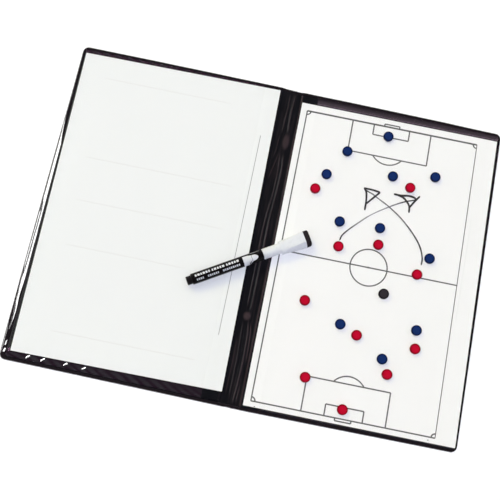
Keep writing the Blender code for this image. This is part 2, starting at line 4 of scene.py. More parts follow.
import bmesh
import bpy
import numpy as np
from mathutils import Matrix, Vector

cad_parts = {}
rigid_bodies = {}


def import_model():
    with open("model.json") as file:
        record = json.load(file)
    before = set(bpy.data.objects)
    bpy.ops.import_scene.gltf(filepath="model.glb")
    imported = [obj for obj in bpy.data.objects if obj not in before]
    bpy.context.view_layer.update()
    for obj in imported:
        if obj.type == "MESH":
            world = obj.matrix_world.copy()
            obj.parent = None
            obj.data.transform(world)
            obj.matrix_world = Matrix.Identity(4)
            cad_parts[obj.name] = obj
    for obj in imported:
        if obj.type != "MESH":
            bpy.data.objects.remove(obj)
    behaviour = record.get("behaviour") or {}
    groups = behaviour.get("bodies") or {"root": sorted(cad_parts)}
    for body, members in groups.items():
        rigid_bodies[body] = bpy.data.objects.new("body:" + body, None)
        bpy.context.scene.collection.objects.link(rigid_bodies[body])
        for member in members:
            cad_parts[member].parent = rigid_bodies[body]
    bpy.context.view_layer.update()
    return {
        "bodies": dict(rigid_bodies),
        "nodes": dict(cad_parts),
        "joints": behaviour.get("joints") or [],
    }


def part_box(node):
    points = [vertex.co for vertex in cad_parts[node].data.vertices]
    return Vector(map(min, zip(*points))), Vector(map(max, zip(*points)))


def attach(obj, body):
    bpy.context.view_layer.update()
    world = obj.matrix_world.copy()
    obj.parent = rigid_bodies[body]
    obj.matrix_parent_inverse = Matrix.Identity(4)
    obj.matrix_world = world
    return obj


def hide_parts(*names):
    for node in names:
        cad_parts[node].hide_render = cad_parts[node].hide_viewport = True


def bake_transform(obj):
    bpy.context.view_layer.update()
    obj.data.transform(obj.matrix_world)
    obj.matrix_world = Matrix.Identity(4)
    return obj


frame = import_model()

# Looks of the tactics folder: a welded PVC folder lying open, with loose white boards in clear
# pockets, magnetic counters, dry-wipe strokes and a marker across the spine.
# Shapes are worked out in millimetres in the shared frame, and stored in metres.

MM = 0.001

# Sheet layers, from the table up, as in the CAD
OUTER_TOP = 0.5
SPINE_SKIN_TOP = 1.1
SKIN_TOP = 3.2
SKIN_THICKNESS = 0.3
FILM_THICKNESS = 0.2
FILM_FOOT = 1.8
FILM_ON_SKIN = 3.6
FILM_ON_BOARD = 4.5
BOARD_TOP = 4.1
FILM_TOP = FILM_ON_BOARD + FILM_THICKNESS / 2

# Cover's outline and the insets of what is welded to it
COVER_RADIUS = 6.0
BEAD_WIDTH = 3.0
BEAD_SHOULDER = 0.7
SPINE_RIM_HEIGHT = 1.4
SKIN_GAP = 0.2
SKIN_FOOT_INSET = 3.5
SKIN_TOP_INSET = 4.3
OUTER_INSET = 0.3
PANEL_BOTTOM = 0.8
STIFFENER_TOP = 2.0
STEEL_BOTTOM = 2.3
PANEL_TOP = 2.6
PANEL_INSET = 4.8
PANEL_INNER_X = 11.2
PANEL_RADIUS = 1.5
FILM_FOOT_INSET = 3.4
FILM_WALL_SLOPE = 6.5
FILM_STEP_START = 0.25
FILM_STEP_END = 5.6
FILM_EDGE_X = 27.2

# Printed and drawn marks
PRINT_THICKNESS = 0.02
PRINT_LINE = 1.3
INK_THICKNESS = 0.03
STRIP_STAGGER = 0.0015

# Edges of a mesh that bend by more than this are sharp, and so are a thin sheet's by more than the second
SHARP_ANGLE = 38.0
SHEET_SHARP_ANGLE = 50.0

# value_noise repeats after so many cells
NOISE_CELLS = 64


def box_mm(node):
    low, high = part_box(node)
    return np.array(low) / MM, np.array(high) / MM


REACH_X, REACH_Y, BEAD_HEIGHT = box_mm("right_outer_skin")[1]


# Small geometry tools


def smoothstep(value, start, end):
    t = np.clip((value - start) / (end - start), 0.0, 1.0)
    return t * t * (3.0 - 2.0 * t)


def swell(value, centre, width, height=1.0):
    """height where value is at the centre, falling to 0 at about twice the width from it."""
    return height * np.exp(-(((value - centre) / width) ** 2))


def graded(*runs):
    """Grid lines of several runs, each (start, end, rough step), one after the other."""
    lines = []
    for start, end, step in runs:
        count = max(1, round(abs(end - start) / step))
        lines.extend(np.linspace(start, end, count, endpoint=False))
    lines.append(runs[-1][1])
    return np.array(lines)


def mirrored_lines(reach, edge, inner, step):
    """Grid lines from -reach to reach: edge in from both ends, and even steps from inner onwards."""
    middle = graded((-reach + inner, reach - inner, step))
    return np.concatenate([-reach + edge, middle, (reach - edge)[::-1]])


def value_noise(x, y, seed, size_x, size_y):
    """Smooth noise between -1 and 1, with features of about the given sizes in millimetres."""
    table = np.random.default_rng(seed).uniform(-1.0, 1.0, (NOISE_CELLS, NOISE_CELLS))
    u = np.asarray(x) / size_x + 0.37 * seed
    v = np.asarray(y) / size_y + 0.71 * seed
    i, j = np.floor(u).astype(int), np.floor(v).astype(int)
    fu, fv = smoothstep(u - i, 0.0, 1.0), smoothstep(v - j, 0.0, 1.0)

    def cell(a, b):
        return table[a % NOISE_CELLS, b % NOISE_CELLS]

    low = cell(i, j) * (1 - fu) + cell(i + 1, j) * fu
    high = cell(i, j + 1) * (1 - fu) + cell(i + 1, j + 1) * fu
    return low * (1 - fv) + high * fv


def new_object(name, data):
    obj = bpy.data.objects.new(name, data)
    bpy.context.scene.collection.objects.link(obj)
    return obj


def mesh_object(name, points, faces, material, sharp_angle=SHARP_ANGLE):
    """A mesh from points in millimetres, its faces pointing out."""
    mesh = bpy.data.meshes.new(name)
    mesh.from_pydata((np.asarray(points, float) * MM).tolist(), [], faces)
    bm = bmesh.new()
    bm.from_mesh(mesh)
    bmesh.ops.recalc_face_normals(bm, faces=bm.faces)
    bm.to_mesh(mesh)
    bm.free()
    mesh.materials.append(material)
    mesh.shade_smooth()
    mesh.set_sharp_from_angle(angle=math.radians(sharp_angle))
    return new_object(name, mesh)


def float_attribute(obj, name, values):
    attribute = obj.data.attributes.new(name, "FLOAT", "POINT")
    attribute.data.foreach_set("value", np.asarray(values, np.float32).ravel())


def hand_over(obj, body, node=None):
    """The piece rides the body, in place of the CAD's node where there is one, which is hidden."""
    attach(obj, body)
    if node:
        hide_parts(node)


def sheet_faces(rows, columns, start=0):
    """Faces of a closed sheet. Its upper grid of points is stored from start on, and then its lower."""
    count = rows * columns
    corners = [start + i * columns + j for i in range(rows - 1) for j in range(columns - 1)]
    upper = [(a, a + columns, a + columns + 1, a + 1) for a in corners]
    lower = [tuple(count + k for k in face[::-1]) for face in upper]
    rim = [start + i * columns for i in range(rows)]
    rim += [start + (rows - 1) * columns + j for j in range(1, columns)]
    rim += [start + i * columns + columns - 1 for i in range(rows - 2, -1, -1)]
    rim += [start + j for j in range(columns - 2, 0, -1)]
    return upper + lower + [(a, b, b + count, a + count) for a, b in zip(rim, rim[1:] + rim[:1])]


def cover_grid(xs, ys, reach_x, reach_y, radius):
    """Grid points over a right-hand cover, its two outer corners drawn round, and each one's inset."""
    x, y = np.meshgrid(xs, ys, indexing="ij")
    inset = np.minimum(reach_x - x, reach_y - np.abs(y))
    a = np.clip((x - (reach_x - radius)) / radius, 0.0, 1.0)
    b = np.clip((np.abs(y) - (reach_y - radius)) / radius, 0.0, 1.0)
    corner = (a > 0) & (b > 0)
    round_x = np.where(corner, reach_x - radius + radius * a * np.sqrt(1 - b * b / 2), x)
    round_y = np.where(corner, reach_y - radius + radius * b * np.sqrt(1 - a * a / 2), np.abs(y))
    return round_x, np.sign(y) * round_y, inset


def stacked(side, x, y, z):
    """Right-hand x, y and z as points, mirrored to the left where side is -1."""
    return np.stack([side * x, y, np.broadcast_to(z, x.shape)], axis=-1)


def sheet_solid(name, side, x, y, top, bottom, material, sharp_angle=SHEET_SHARP_ANGLE):
    """A closed sheet over a cover's grid of points, between two heights."""
    points = np.concatenate([stacked(side, x, y, z).reshape(-1, 3) for z in (top, bottom)])
    return mesh_object(name, points, sheet_faces(*x.shape), material, sharp_angle)


def tube_faces(rings, count, start=0, closed=False):
    """Faces between rings of count points, stored from start on. The tube closes on itself or has caps."""
    faces = []
    for i in range(rings if closed else rings - 1):
        low, high = start + i * count, start + (i + 1) % rings * count
        for j in range(count):
            k = (j + 1) % count
            faces.append((low + j, low + k, high + k, high + j))
    if not closed:
        last = start + (rings - 1) * count
        faces += [tuple(range(start, start + count))[::-1], tuple(range(last, last + count))]
    return faces


def loft(name, rings, material, sharp_angle=SHARP_ANGLE):
    """A closed solid through rings that have the same number of points."""
    faces = tube_faces(len(rings), len(rings[0]))
    return mesh_object(name, np.concatenate(rings), faces, material, sharp_angle)


# Materials

# Most of a noise texture's values lie between these two
NOISE_SPREAD = (0.3, 0.7)
# Painted shade over a counter's low rim: how bright it is against the dark of its face
RIM_PAINTED_SHADE = 0.50


def fill(tree, node, inputs):
    """Fill a node's inputs, by number or name with _ for a space, with values or other nodes' outputs."""
    for key, value in inputs.items():
        socket = node.inputs[key if isinstance(key, int) else key.replace("_", " ")]
        if isinstance(value, bpy.types.NodeSocket):
            tree.links.new(value, socket)
        else:
            socket.default_value = value


def new_node(tree, kind, *numbered, **named):
    """A new node. What is named in lower case is a setting, and all else goes into its inputs."""
    node = tree.nodes.new(f"ShaderNode{kind}")
    for key in [key for key in named if key.islower()]:
        setattr(node, key, named.pop(key))
    fill(tree, node, {**dict(enumerate(numbered)), **named})
    return node


def shade(material, **inputs):
    fill(material.node_tree, material.node_tree.nodes["Principled BSDF"], inputs)


def surface(name, colour, roughness, **inputs):
    """A Principled material. inputs are more of its inputs, with _ for a space."""
    material = bpy.data.materials.new(name)
    material.use_nodes = True
    shade(material, Base_Color=(*colour, 1.0), Roughness=roughness, **inputs)
    material.diffuse_color = (*colour, 1.0)
    return material


def noise_in(material, scale, detail=3.0, stretch=(1.0, 1.0, 1.0), turn=0.0):
    """The value of a noise texture in the piece's own coordinates. scale is features per metre."""
    tree = material.node_tree
    place = new_node(tree, "TexCoord").outputs["Object"]
    turned = (0.0, 0.0, math.radians(turn))
    mapped = new_node(tree, "Mapping", Vector=place, Rotation=turned, Scale=stretch).outputs["Vector"]
    return new_node(tree, "TexNoise", Vector=mapped, Scale=scale, Detail=detail).outputs["Fac"]


def attribute_in(material, name):
    return new_node(material.node_tree, "Attribute", attribute_name=name).outputs["Fac"]


def ranged(tree, value, from_low, from_high, to_low, to_high):
    ends = {"From Min": from_low, "From Max": from_high, "To Min": to_low, "To Max": to_high}
    return new_node(tree, "MapRange", Value=value, **ends).outputs["Result"]


def colour_between(material, value, low, high):
    """Mix two colours by value. low may also be another node's output."""
    if isinstance(low, tuple):
        low = (*low, 1.0)
    node = new_node(material.node_tree, "Mix", data_type="RGBA", Factor=value, A=low, B=(*high, 1.0))
    return next(socket for socket in node.outputs if socket.type == "RGBA")


def vary(material, colour=None, roughness=None, relief=None):
    """The material with its colour and roughness varied, and its surface raised, each by a value.

    colour is (value, low, high), roughness the same, and relief is (value, millimetres, strength). A value
    in brackets is a noise: its scale, and the rest of what noise_in takes.
    """

    def source(value):
        return noise_in(material, *value) if isinstance(value, tuple) else value

    if colour:
        shade(material, Base_Color=colour_between(material, source(colour[0]), *colour[1:]))
    if roughness:
        spread = (*NOISE_SPREAD, *roughness[1:])
        shade(material, Roughness=ranged(material.node_tree, source(roughness[0]), *spread))
    if relief:
        value, distance, strength = relief
        bump = {"Height": source(value), "Distance": distance * MM, "Strength": strength}
        shade(material, Normal=new_node(material.node_tree, "Bump", **bump).outputs["Normal"])
    return material


def pvc_material():
    """Glossy black PVC. Where a point attribute marks it, it turns brown and lighter: scuffing on its
    stretched crests, with a painted sheen along them and a painted highlight along the crease's lip.
    """
    made = surface("black_pvc_sheet", (0.010, 0.008, 0.011), 0.34, Specular_IOR_Level=0.26)
    patches = noise_in(made, 90.0, 3.0, (1.0, 0.35, 1.0))
    base = colour_between(made, patches, (0.004, 0.004, 0.006), (0.007, 0.007, 0.010))
    # Brown, lighter tint: scuffing, with painted sheen on the crests and a painted highlight on the crease's
    # lip
    wear_and_sheen_tint = (attribute_in(made, "wear_and_sheen"), base, (0.070, 0.046, 0.053))
    return vary(made, wear_and_sheen_tint, (patches, 0.28, 0.42), ((500.0, 2.0, (1.0, 0.12, 1.0)), 0.05, 0.35))


def outer_pvc_material():
    """The folder's outside: the same PVC with a fine leather-like grain."""
    made = surface("black_pvc_outside", (0.011, 0.010, 0.012), 0.38)
    grain = noise_in(made, 1400.0, 2.0)
    colour = ((60.0,), (0.008, 0.007, 0.009), (0.016, 0.014, 0.017))
    return vary(made, colour, (grain, 0.32, 0.45), (grain, 0.06, 0.5))


def bead_material():
    """PVC with the film melted into it: the glossiest part of the folder."""
    made = surface("black_pvc_weld", (0.010, 0.008, 0.010), 0.20, Specular_IOR_Level=0.9, IOR=1.7)
    colour = ((120.0,), (0.005, 0.004, 0.006), (0.016, 0.010, 0.014))
    return vary(made, colour, ((160.0,), 0.09, 0.15), ((300.0, 2.0), 0.01, 0.25))


def film_material(name, alpha, metallic, low, high, tone_attribute=None):
    """Clear PVC film. alpha and metallic set how much of its cloudiness and gloss shows. Its colour follows a
    noise, or a named point attribute, which on the margins holds a painted sheen.
    """
    made = surface(name, high, 0.14, Alpha=alpha, Metallic=metallic, Specular_IOR_Level=0.9)
    clouds = noise_in(made, 40.0)
    film_tone = attribute_in(made, tone_attribute) if tone_attribute else clouds
    return vary(made, (film_tone, low, high), (clouds, 0.07, 0.14), ((150.0, 2.0), 0.10, 0.15))


def board_material(name, low, high):
    """White laminated board with faint wiped-off smears."""
    smears = (25.0, 4.0, (1.0, 0.4, 1.0), 20.0)
    made = surface(name, high, 0.34)
    return vary(made, (smears, low, high), ((200.0,), 0.28, 0.42), ((120.0, 2.0), 0.03, 0.15))


def counter_material(name, colour, deep):
    """Matt moulded plastic with a fine grain, and painted shade over its low rim."""
    made = surface(name, colour, 0.42, Specular_IOR_Level=0.08)
    face = colour_between(made, noise_in(made, 350.0), deep, colour)
    # Painted shade: darker over the low rim
    rim = (attribute_in(made, "rim"), face, tuple(RIM_PAINTED_SHADE * part for part in deep))
    return vary(made, rim, ((900.0,), 0.34, 0.52), ((1800.0, 2.0), 0.03, 0.35))


def plastic_material(name, low, high, rough_low, rough_high, specular=0.5):
    """Smooth moulded plastic."""
    made = surface(name, high, rough_low, Specular_IOR_Level=specular)
    gloss = ((400.0,), rough_low, rough_high)
    return vary(made, ((150.0,), low, high), gloss, ((900.0, 2.0), 0.02, 0.25))


def fibre_material(name, low, high):
    """Felt or fibre: rough, with a fine nap."""
    made = surface(name, high, 0.95, Sheen_Weight=0.06, Specular_IOR_Level=0.15)
    nap = noise_in(made, 2600.0, 4.0)
    return vary(made, (nap, low, high), relief=(nap, 0.25, 0.8))


def ink_material():
    """Dry-wipe ink: dark, and paler where the marker ran dry."""
    made = surface("dry_wipe_ink", (0.030, 0.026, 0.030), 0.55)
    streaks = noise_in(made, 1500.0, 2.0)
    dark = colour_between(made, streaks, (0.020, 0.017, 0.020), (0.050, 0.044, 0.048))
    return vary(made, (attribute_in(made, "ink"), dark, (0.42, 0.42, 0.45)), relief=(streaks, 0.02, 0.3))


def print_material(name, colour, lighter):
    return vary(surface(name, colour, 0.45), ((300.0, 4.0), colour, lighter), ((800.0,), 0.38, 0.52))


PVC = pvc_material()
PVC_OUTSIDE = outer_pvc_material()
PVC_WELD = bead_material()
FILM = film_material("clear_pvc_film", 0.010, 0.0, (0.90, 0.895, 0.905), (0.95, 0.945, 0.95))
# The margins' film: its tone, from a point attribute, paints the sheen of its ripples
FILM_MARGINS = {
    -1: film_material(
        "clear_pvc_film_margin_left", 0.085, 0.85, (0.34, 0.07, 0.24), (0.92, 0.80, 0.97), "film_tone"),
    1: film_material(
        "clear_pvc_film_margin_right", 0.17, 0.85, (0.13, 0.08, 0.12), (1.0, 0.75, 0.95), "film_tone"),
}
# Whiter, less clear film on the pinches' facets: a painted boost that makes their glints white
FILM_GLINT = film_material("clear_pvc_film_glint", 0.13, 0.85, (0.95, 0.93, 0.95), (1.0, 1.0, 1.0))
WRITING_BOARD = board_material("white_board_laminate_left", (0.823, 0.846, 0.862), (0.853, 0.871, 0.883))
PITCH_BOARD = board_material("white_board_laminate_right", (0.878, 0.885, 0.898), (0.903, 0.905, 0.918))
GREYBOARD = plastic_material("grey_board_core", (0.24, 0.22, 0.19), (0.36, 0.34, 0.30), 0.85, 0.95)
STEEL = surface("steel_sheet", (0.56, 0.57, 0.58), 0.35, Metallic=1.0)
vary(STEEL, roughness=((300.0, 2.0, (1, 0.05, 1)), 0.28, 0.44))
COUNTER_LOOKS = {
    "blue": counter_material("counter_plastic_blue", (0.0080, 0.029, 0.142), (0.006, 0.021, 0.114)),
    "red": counter_material("counter_plastic_red", (0.530, 0.002, 0.026), (0.450, 0.0015, 0.021)),
    "black": counter_material("counter_plastic_black", (0.036, 0.030, 0.040), (0.027, 0.023, 0.031)),
}
MARKER_BLACK = plastic_material(
    "marker_plastic_black", (0.003, 0.002, 0.003), (0.005, 0.004, 0.005), 0.26, 0.36, 0.12)
MARKER_GREY = plastic_material(
    "marker_plastic_grey", (0.006, 0.005, 0.006), (0.011, 0.009, 0.010), 0.40, 0.50, 0.13)
MARKER_WHITE = plastic_material("marker_plastic_white", (0.72, 0.745, 0.80), (0.77, 0.79, 0.84), 0.24, 0.36)
INK_FIBRE = fibre_material("ink_soaked_fibre", (0.020, 0.020, 0.026), (0.060, 0.060, 0.070))
FELT = fibre_material("eraser_felt_brown", (0.008, 0.006, 0.008), (0.034, 0.026, 0.031))
INK = ink_material()
PITCH_INK = print_material("pitch_print_grey", (0.065, 0.065, 0.07), (0.13, 0.13, 0.135))
PALE_INK = print_material("print_pale_grey", (0.22, 0.22, 0.23), (0.34, 0.34, 0.35))
GHOST_INK = print_material("print_show_through", (0.765, 0.78, 0.79), (0.81, 0.82, 0.83))
WHITE_INK = print_material("barrel_print_white", (0.66, 0.68, 0.73), (0.74, 0.76, 0.80))
TINT_INK = print_material("barrel_print_tint", (0.52, 0.55, 0.62), (0.64, 0.66, 0.72))


# Spine and inner skin: crests and furrows of the soft sheet, as (points, height, half-width, brown tint of
# scuffing and painted sheen)

SPINE_FOLDS = [
    ([(1.6, 157), (1.0, 137), (1.6, 124), (2.4, 112)], -0.30, 0.75, 0.0),
    ([(-1.1, 156), (-0.8, 141), (-1.5, 126), (-2.2, 112)], 0.42, 0.75, 0.35),
    ([(4.5, 157), (3.3, 137), (3.3, 128), (4.4, 112)], 0.50, 0.80, 0.30),
    ([(-2.2, 112), (-4.3, 106), (-4.0, 98), (-4.8, 91), (-6.4, 84)], 0.24, 0.60, 0.30),
    ([(-1.0, 93), (-1.9, 87), (-3.3, 79), (-5.2, 71), (-6.2, 62)], 0.26, 0.65, 0.40),
    ([(2.0, 90), (3.5, 78), (3.1, 63), (2.3, 42), (1.0, 20), (0.9, -10), (1.0, -60), (0.2, -71)],
     -0.30, 0.70, 0.0),
    ([(0.4, 92), (1.8, 72), (1.5, 52), (-0.2, 35), (-1.6, 12), (-1.2, -30), (-1.5, -66)], 0.40, 0.70, 0.30),
    ([(3.9, 92), (5.3, 74), (4.5, 50), (2.9, 28), (2.7, 0), (2.9, -40), (2.3, -69)], 0.42, 0.75, 0.30),
    ([(-2.8, -78), (-2.0, -95), (-1.4, -114), (-1.5, -135), (-1.9, -152)], 0.40, 0.65, 0.15),
    ([(-1.0, -79), (0.1, -100), (0.8, -124), (0.1, -144), (-0.3, -157)], -0.30, 0.75, 0.0),
    ([(2.1, -78), (3.9, -89), (4.4, -108), (4.2, -122), (3.6, -140), (2.3, -157)], 0.50, 0.75, 0.55),
    ([(4.2, -79), (6.2, -87), (7.0, -100), (7.4, -118)], 0.35, 0.70, 0.60),
    ([(6.2, -138), (5.9, -147), (5.2, -157)], 0.40, 0.60, 0.35),
    ([(-5.2, -95), (-5.0, -118), (-5.6, -150)], 0.16, 0.70, 0.30),
]

# Blisters in the spine's skin: centre, half-sizes, height, brown tint of scuffing and painted sheen
BLISTERS = [
    ((3.7, 104.4), (3.9, 9.4), 0.55, 0.80),
    ((-0.1, -74.0), (4.1, 4.7), 0.55, 1.0),
]

FOLD_FADE = 7.0
BLISTER_FLATTENING = 0.8
# The crease's upper line: where the inner skin reaches a cover's height
CREASE_RAMP = (-1.2, 0.0)
CREASE_TOP_LINE = [(11.1, 160), (10.9, 60), (10.5, 0), (9.9, -80), (9.6, -160)]
CREASE_TOP_LEFT = 10.9
# A painted highlight along the crease's lip: its offset and half-width, then its strength on each side
CREASE_LIP = (0.1, 0.65)
CREASE_HIGHLIGHT = {-1: 0.12, 1: 0.90}
RELIEF_END = (7.2, 9.4)
# Fields of noise: seed, and the size of their features along x and y
SPINE_WAVES = (3, 2.2, 14.0)
SPINE_GRAIN = (4, 0.9, 9.0)
SPINE_WEAR = (6, 1.2, 19.0)
CREASE_PATCHES = (8, 5.0, 22.0)


def line_x(line, y):
    """The line's x at each y, with its corners rounded off."""
    xs, ys = zip(*sorted(line, key=lambda p: p[1]))
    shifts = (-4.0, -2.0, 0.0, 2.0, 4.0)
    return sum(np.interp(y + shift, ys, xs) for shift in shifts) / len(shifts)


def fold_profile(x, y, line, half_width):
    """1 along the line and 0 away from it, fading out at its ends."""
    ys = [p[1] for p in line]
    ends = smoothstep(y, min(ys) - FOLD_FADE / 2, min(ys) + FOLD_FADE)
    ends = ends * smoothstep(-y, -max(ys) - FOLD_FADE / 2, -max(ys) + FOLD_FADE)
    return swell(x, line_x(line, y), half_width) * ends


def spine_relief(x, y):
    """Height of the spine's folds over its skin, and their brown, lighter tint: scuffing, and a painted sheen
    along their crests.
    """
    height = 0.06 * value_noise(x, y, *SPINE_WAVES) + 0.03 * value_noise(x, y, *SPINE_GRAIN)
    wear_and_sheen = 0.14 * np.clip(value_noise(x, y, *SPINE_WEAR), 0.0, 1.0)
    for line, fold_height, half_width, wear_and_sheen_tint in SPINE_FOLDS:
        profile = fold_profile(x, y, line, half_width)
        height = height + fold_height * profile
        # Crests take a brown, lighter tint: scuffing, and a painted sheen along them
        wear_and_sheen = wear_and_sheen + wear_and_sheen_tint * profile * profile
    for (cx, cy), (rx, ry), rise, wear_and_sheen_tint in BLISTERS:
        radius = np.sqrt(((x - cx) / rx) ** 2 + ((y - cy) / ry) ** 2)
        dome = 1.0 - smoothstep(radius, 0.25, 1.1)
        height = height * (1.0 - BLISTER_FLATTENING * dome) + rise * dome
        wear_and_sheen = wear_and_sheen * (1.0 - dome) + wear_and_sheen_tint * dome * (0.65 + 0.35 * smoothstep(radius, 0.2, 0.9))
    return height, wear_and_sheen


def skin_height(side, x, y, inset):
    """Top of the inner skin and its brown, lighter tint, for right-hand x on either side: scuffing, and a
    painted highlight along the crease's lip.
    """
    relief, wear_and_sheen = spine_relief(side * x, y)
    top_x = line_x(CREASE_TOP_LINE, y) if side > 0 else CREASE_TOP_LEFT
    ramp = smoothstep(x - top_x, *CREASE_RAMP)
    fade = 1.0 - smoothstep(x, *RELIEF_END)
    rise = relief * fade + (SKIN_TOP - SPINE_SKIN_TOP) * ramp
    height = SPINE_SKIN_TOP + rise * smoothstep(inset, SKIN_FOOT_INSET, SKIN_TOP_INSET)
    # Painted highlight along the crease's lip, strong on the right-hand side
    lip_highlight = CREASE_HIGHLIGHT[side] * swell(x - top_x, *CREASE_LIP)
    lip_highlight = lip_highlight * (0.75 + 0.25 * value_noise(x, y, *CREASE_PATCHES))
    return height, np.clip(wear_and_sheen * fade + lip_highlight, 0.0, 1.0)


def inner_skin(side, label):
    reach_x = REACH_X - BEAD_WIDTH - SKIN_GAP
    reach_y = REACH_Y - BEAD_WIDTH - SKIN_GAP
    edge_x = reach_x - 3
    xs = graded((0, 12.6, 0.33), (12.6, 16, 0.8), (16, 200, 12.0), (200, edge_x, 1.5), (edge_x, reach_x, 0.4))
    ys = mirrored_lines(reach_y, graded((0, 3, 0.4), (3, 14, 1.4)), 15.2, 1.5)
    x, y, inset = cover_grid(xs, ys, reach_x, reach_y, COVER_RADIUS - BEAD_WIDTH)
    z, wear_and_sheen = skin_height(side, x, y, inset + BEAD_WIDTH + SKIN_GAP)
    y = y + end_bow(side, x, y)
    obj = sheet_solid(f"{label}_inner_sheet", side, x, y, z, z - SKIN_THICKNESS, PVC)
    float_attribute(obj, "wear_and_sheen", [wear_and_sheen, wear_and_sheen])
    return obj


def hidden_panel(side, label, kind, low, high, material):
    """A panel inside a cover. Its ends follow the cover's uneven ends, so that the skin still hides it."""
    reach_x, reach_y = REACH_X - PANEL_INSET, REACH_Y - PANEL_INSET
    edge = graded((0, 1.5, 0.75))
    xs = np.concatenate([graded((PANEL_INNER_X, reach_x - 3, 14.0)), (reach_x - edge)[::-1]])
    x, y, _ = cover_grid(xs, mirrored_lines(reach_y, edge, 3, 12.0), reach_x, reach_y, PANEL_RADIUS)
    y = y + end_bow(side, x, y)
    panel = sheet_solid(f"{label}_{kind}_panel", side, x, y, high, low, material)
    hand_over(panel, f"{label}_cover", f"{label}_{kind}")


# Grooves outside a cover, along its weld and beside its hinge: place, half-width, depth
WELD_LINE = (3.6, 0.7, 0.16)
HINGE_LINE = (8.0, 0.9, 0.18)


def outer_sheet(side, label):
    """Outer PVC: flat inside, with a pressed weld line and hinge grooves on its outside."""
    reach_x, reach_y = REACH_X - OUTER_INSET, REACH_Y - OUTER_INSET
    edge = graded((0, 6, 0.6))
    inner = graded((0, 5, 1.0), (5, 11, 0.5), (11, 16, 1.0), (16, reach_x - 6.5, 14.0))
    xs = np.concatenate([inner, (reach_x - edge)[::-1]])
    ys = mirrored_lines(reach_y, edge, 6.5, 12.0)
    x, y, inset = cover_grid(xs, ys, reach_x, reach_y, COVER_RADIUS - OUTER_INSET)
    x = x + edge_bow(side, x, y)
    y = y + end_bow(side, x, y)
    groove = swell(inset, *WELD_LINE) + swell(x, *HINGE_LINE)
    return sheet_solid(f"{label}_outer_sheet", side, x, y, OUTER_TOP, groove, PVC_OUTSIDE)


# Weld bead round the free sides

# How far the bead dips inwards at the spine's top end: (x, by how much). At its foot it dips less.
SPINE_END_DIPS = [
    (-9, 0.0), (-5, 0.35), (-1.8, 1.3), (1, 0.35), (4, 0.1), (7, 0.55), (9.5, 0.35), (14, 0.0),
]
FOOT_DIP_SHARE = 0.4


def bead_path(inset):
    """Points round a right-hand cover's free sides, from the middle of the spine and back to it."""
    radius = COVER_RADIUS - inset
    x_far, y_far = REACH_X - COVER_RADIUS, REACH_Y - COVER_RADIUS
    along = graded((0, 14, 1.0), (14, x_far, 4.0))
    angles = np.radians(np.linspace(0, 90, 9))[1:]
    up = graded((-y_far, -136, 0.9), (-136, 90, 3.0), (90, y_far, 8.0))[1:]
    points = [(x, -REACH_Y + inset) for x in along]
    points += [(x_far + radius * math.sin(a), -y_far - radius * math.cos(a)) for a in angles]
    points += [(REACH_X - inset, y) for y in up]
    points += [(x_far + radius * math.cos(a), y_far + radius * math.sin(a)) for a in angles]
    points += [(x, REACH_Y - inset) for x in along[::-1][1:]]
    return np.array(points)


# How far a cover's side edge runs out: (y, by how much). The left one runs out towards its foot. The right
# one runs in there, by the amounts that make its bead narrower.
EDGE_BOWS = {
    -1: [
        (-160, 2.6), (-124, 2.6), (-107, 2.4), (-81, 2.3), (-48, 2.1), (-21, 1.8), (6, 1.6), (34, 1.3),
        (59, 1.0), (81, 0.7), (96, 0.3), (110, 0.1), (130, -0.1), (160, -0.3),
    ],
    1: [(-160, -1.7), (-100, -1.25), (-50, -0.95), (0, -0.75), (50, -0.6), (100, -0.4), (160, -0.25)],
}
# The covers' top and foot edges aren't quite straight: (x, by how much they run out)
TOP_BOW = [
    (-207, 2.2), (-140, 2.05), (-110, 1.8), (-60, 1.35), (-10, 0.95), (10, -0.1), (60, -0.4), (110, -0.9),
    (160, -1.5), (185, -2.15), (207, -2.5),
]
FOOT_BOW = [(-207, -1.25), (-110, -0.12), (-60, 0.38), (-10, 1.05), (10, 1.35), (110, 0.95), (207, 0.45)]
# The left bead is pressed into a slanted band: (y, where the band starts and ends, as insets, how much it
# goes on outwards past a notch). Inwards of the band the bead is rounded off.
PRESSED_BAND = [
    (-128, 1.3, 1.3, 0), (-124, 1.1, 2.0, 0),
    (-115, 1.4, 2.5, 0), (-107, 0.1, 2.6, 0), (-98, 0.0, 1.8, 0), (-90, -0.3, 2.5, 0), (-81, -0.6, 2.8, 0.3),
    (-72, 0.6, 2.8, 1), (-62, 1.1, 2.8, 1), (-48, 1.2, 2.8, 1), (-39, 1.2, 2.9, 1), (-30, 1.5, 2.8, 1),
    (-21, 1.5, 2.95, 1), (-12, 1.8, 2.95, 1), (-3, -0.3, 2.95, 0), (6, 0.1, 2.95, 0), (34, 0.3, 2.95, 0),
    (59, 0.6, 2.95, 0), (70, 0.4, 1.6, 0), (81, 0.0, 0.9, 0), (90, 0.4, 0.5, 0),
]
BAND_FLOOR = 1.40
BAND_SLOPE = 0.249
# How far before the band's start its notch is, the notch's half-width and its depth
NOTCH = (0.6, 0.24, 0.10)
ROLL_OFF = 0.9
FLANGE_WIDTH = 0.95
FLANGE_HEIGHT = 0.74
# Where along y the band fades in and out, and where along x the spine's rim rises to the bead
BAND_FOOT = (-131, -125)
BAND_TOP = (84, 94)
RIM_RISE = (8.0, 11.0)
BEAD_SWELL = 0.045
BEAD_SWELL_SIZE = (11.0, 1.2)
BEAD_SINK = 0.05
# Two facets by the lower left corner: centre, slope, angle, and half-sizes along and across
BEAD_FACETS = [
    ((-214.5, -143.1), (0.2412, -0.1190), 90.0, (3.2, 0.90)),
    ((-214.2, -150.3), (0.2409, -0.1250), 78.0, (2.9, 1.40)),
]
BEAD_FACET_LEVEL = 2.1
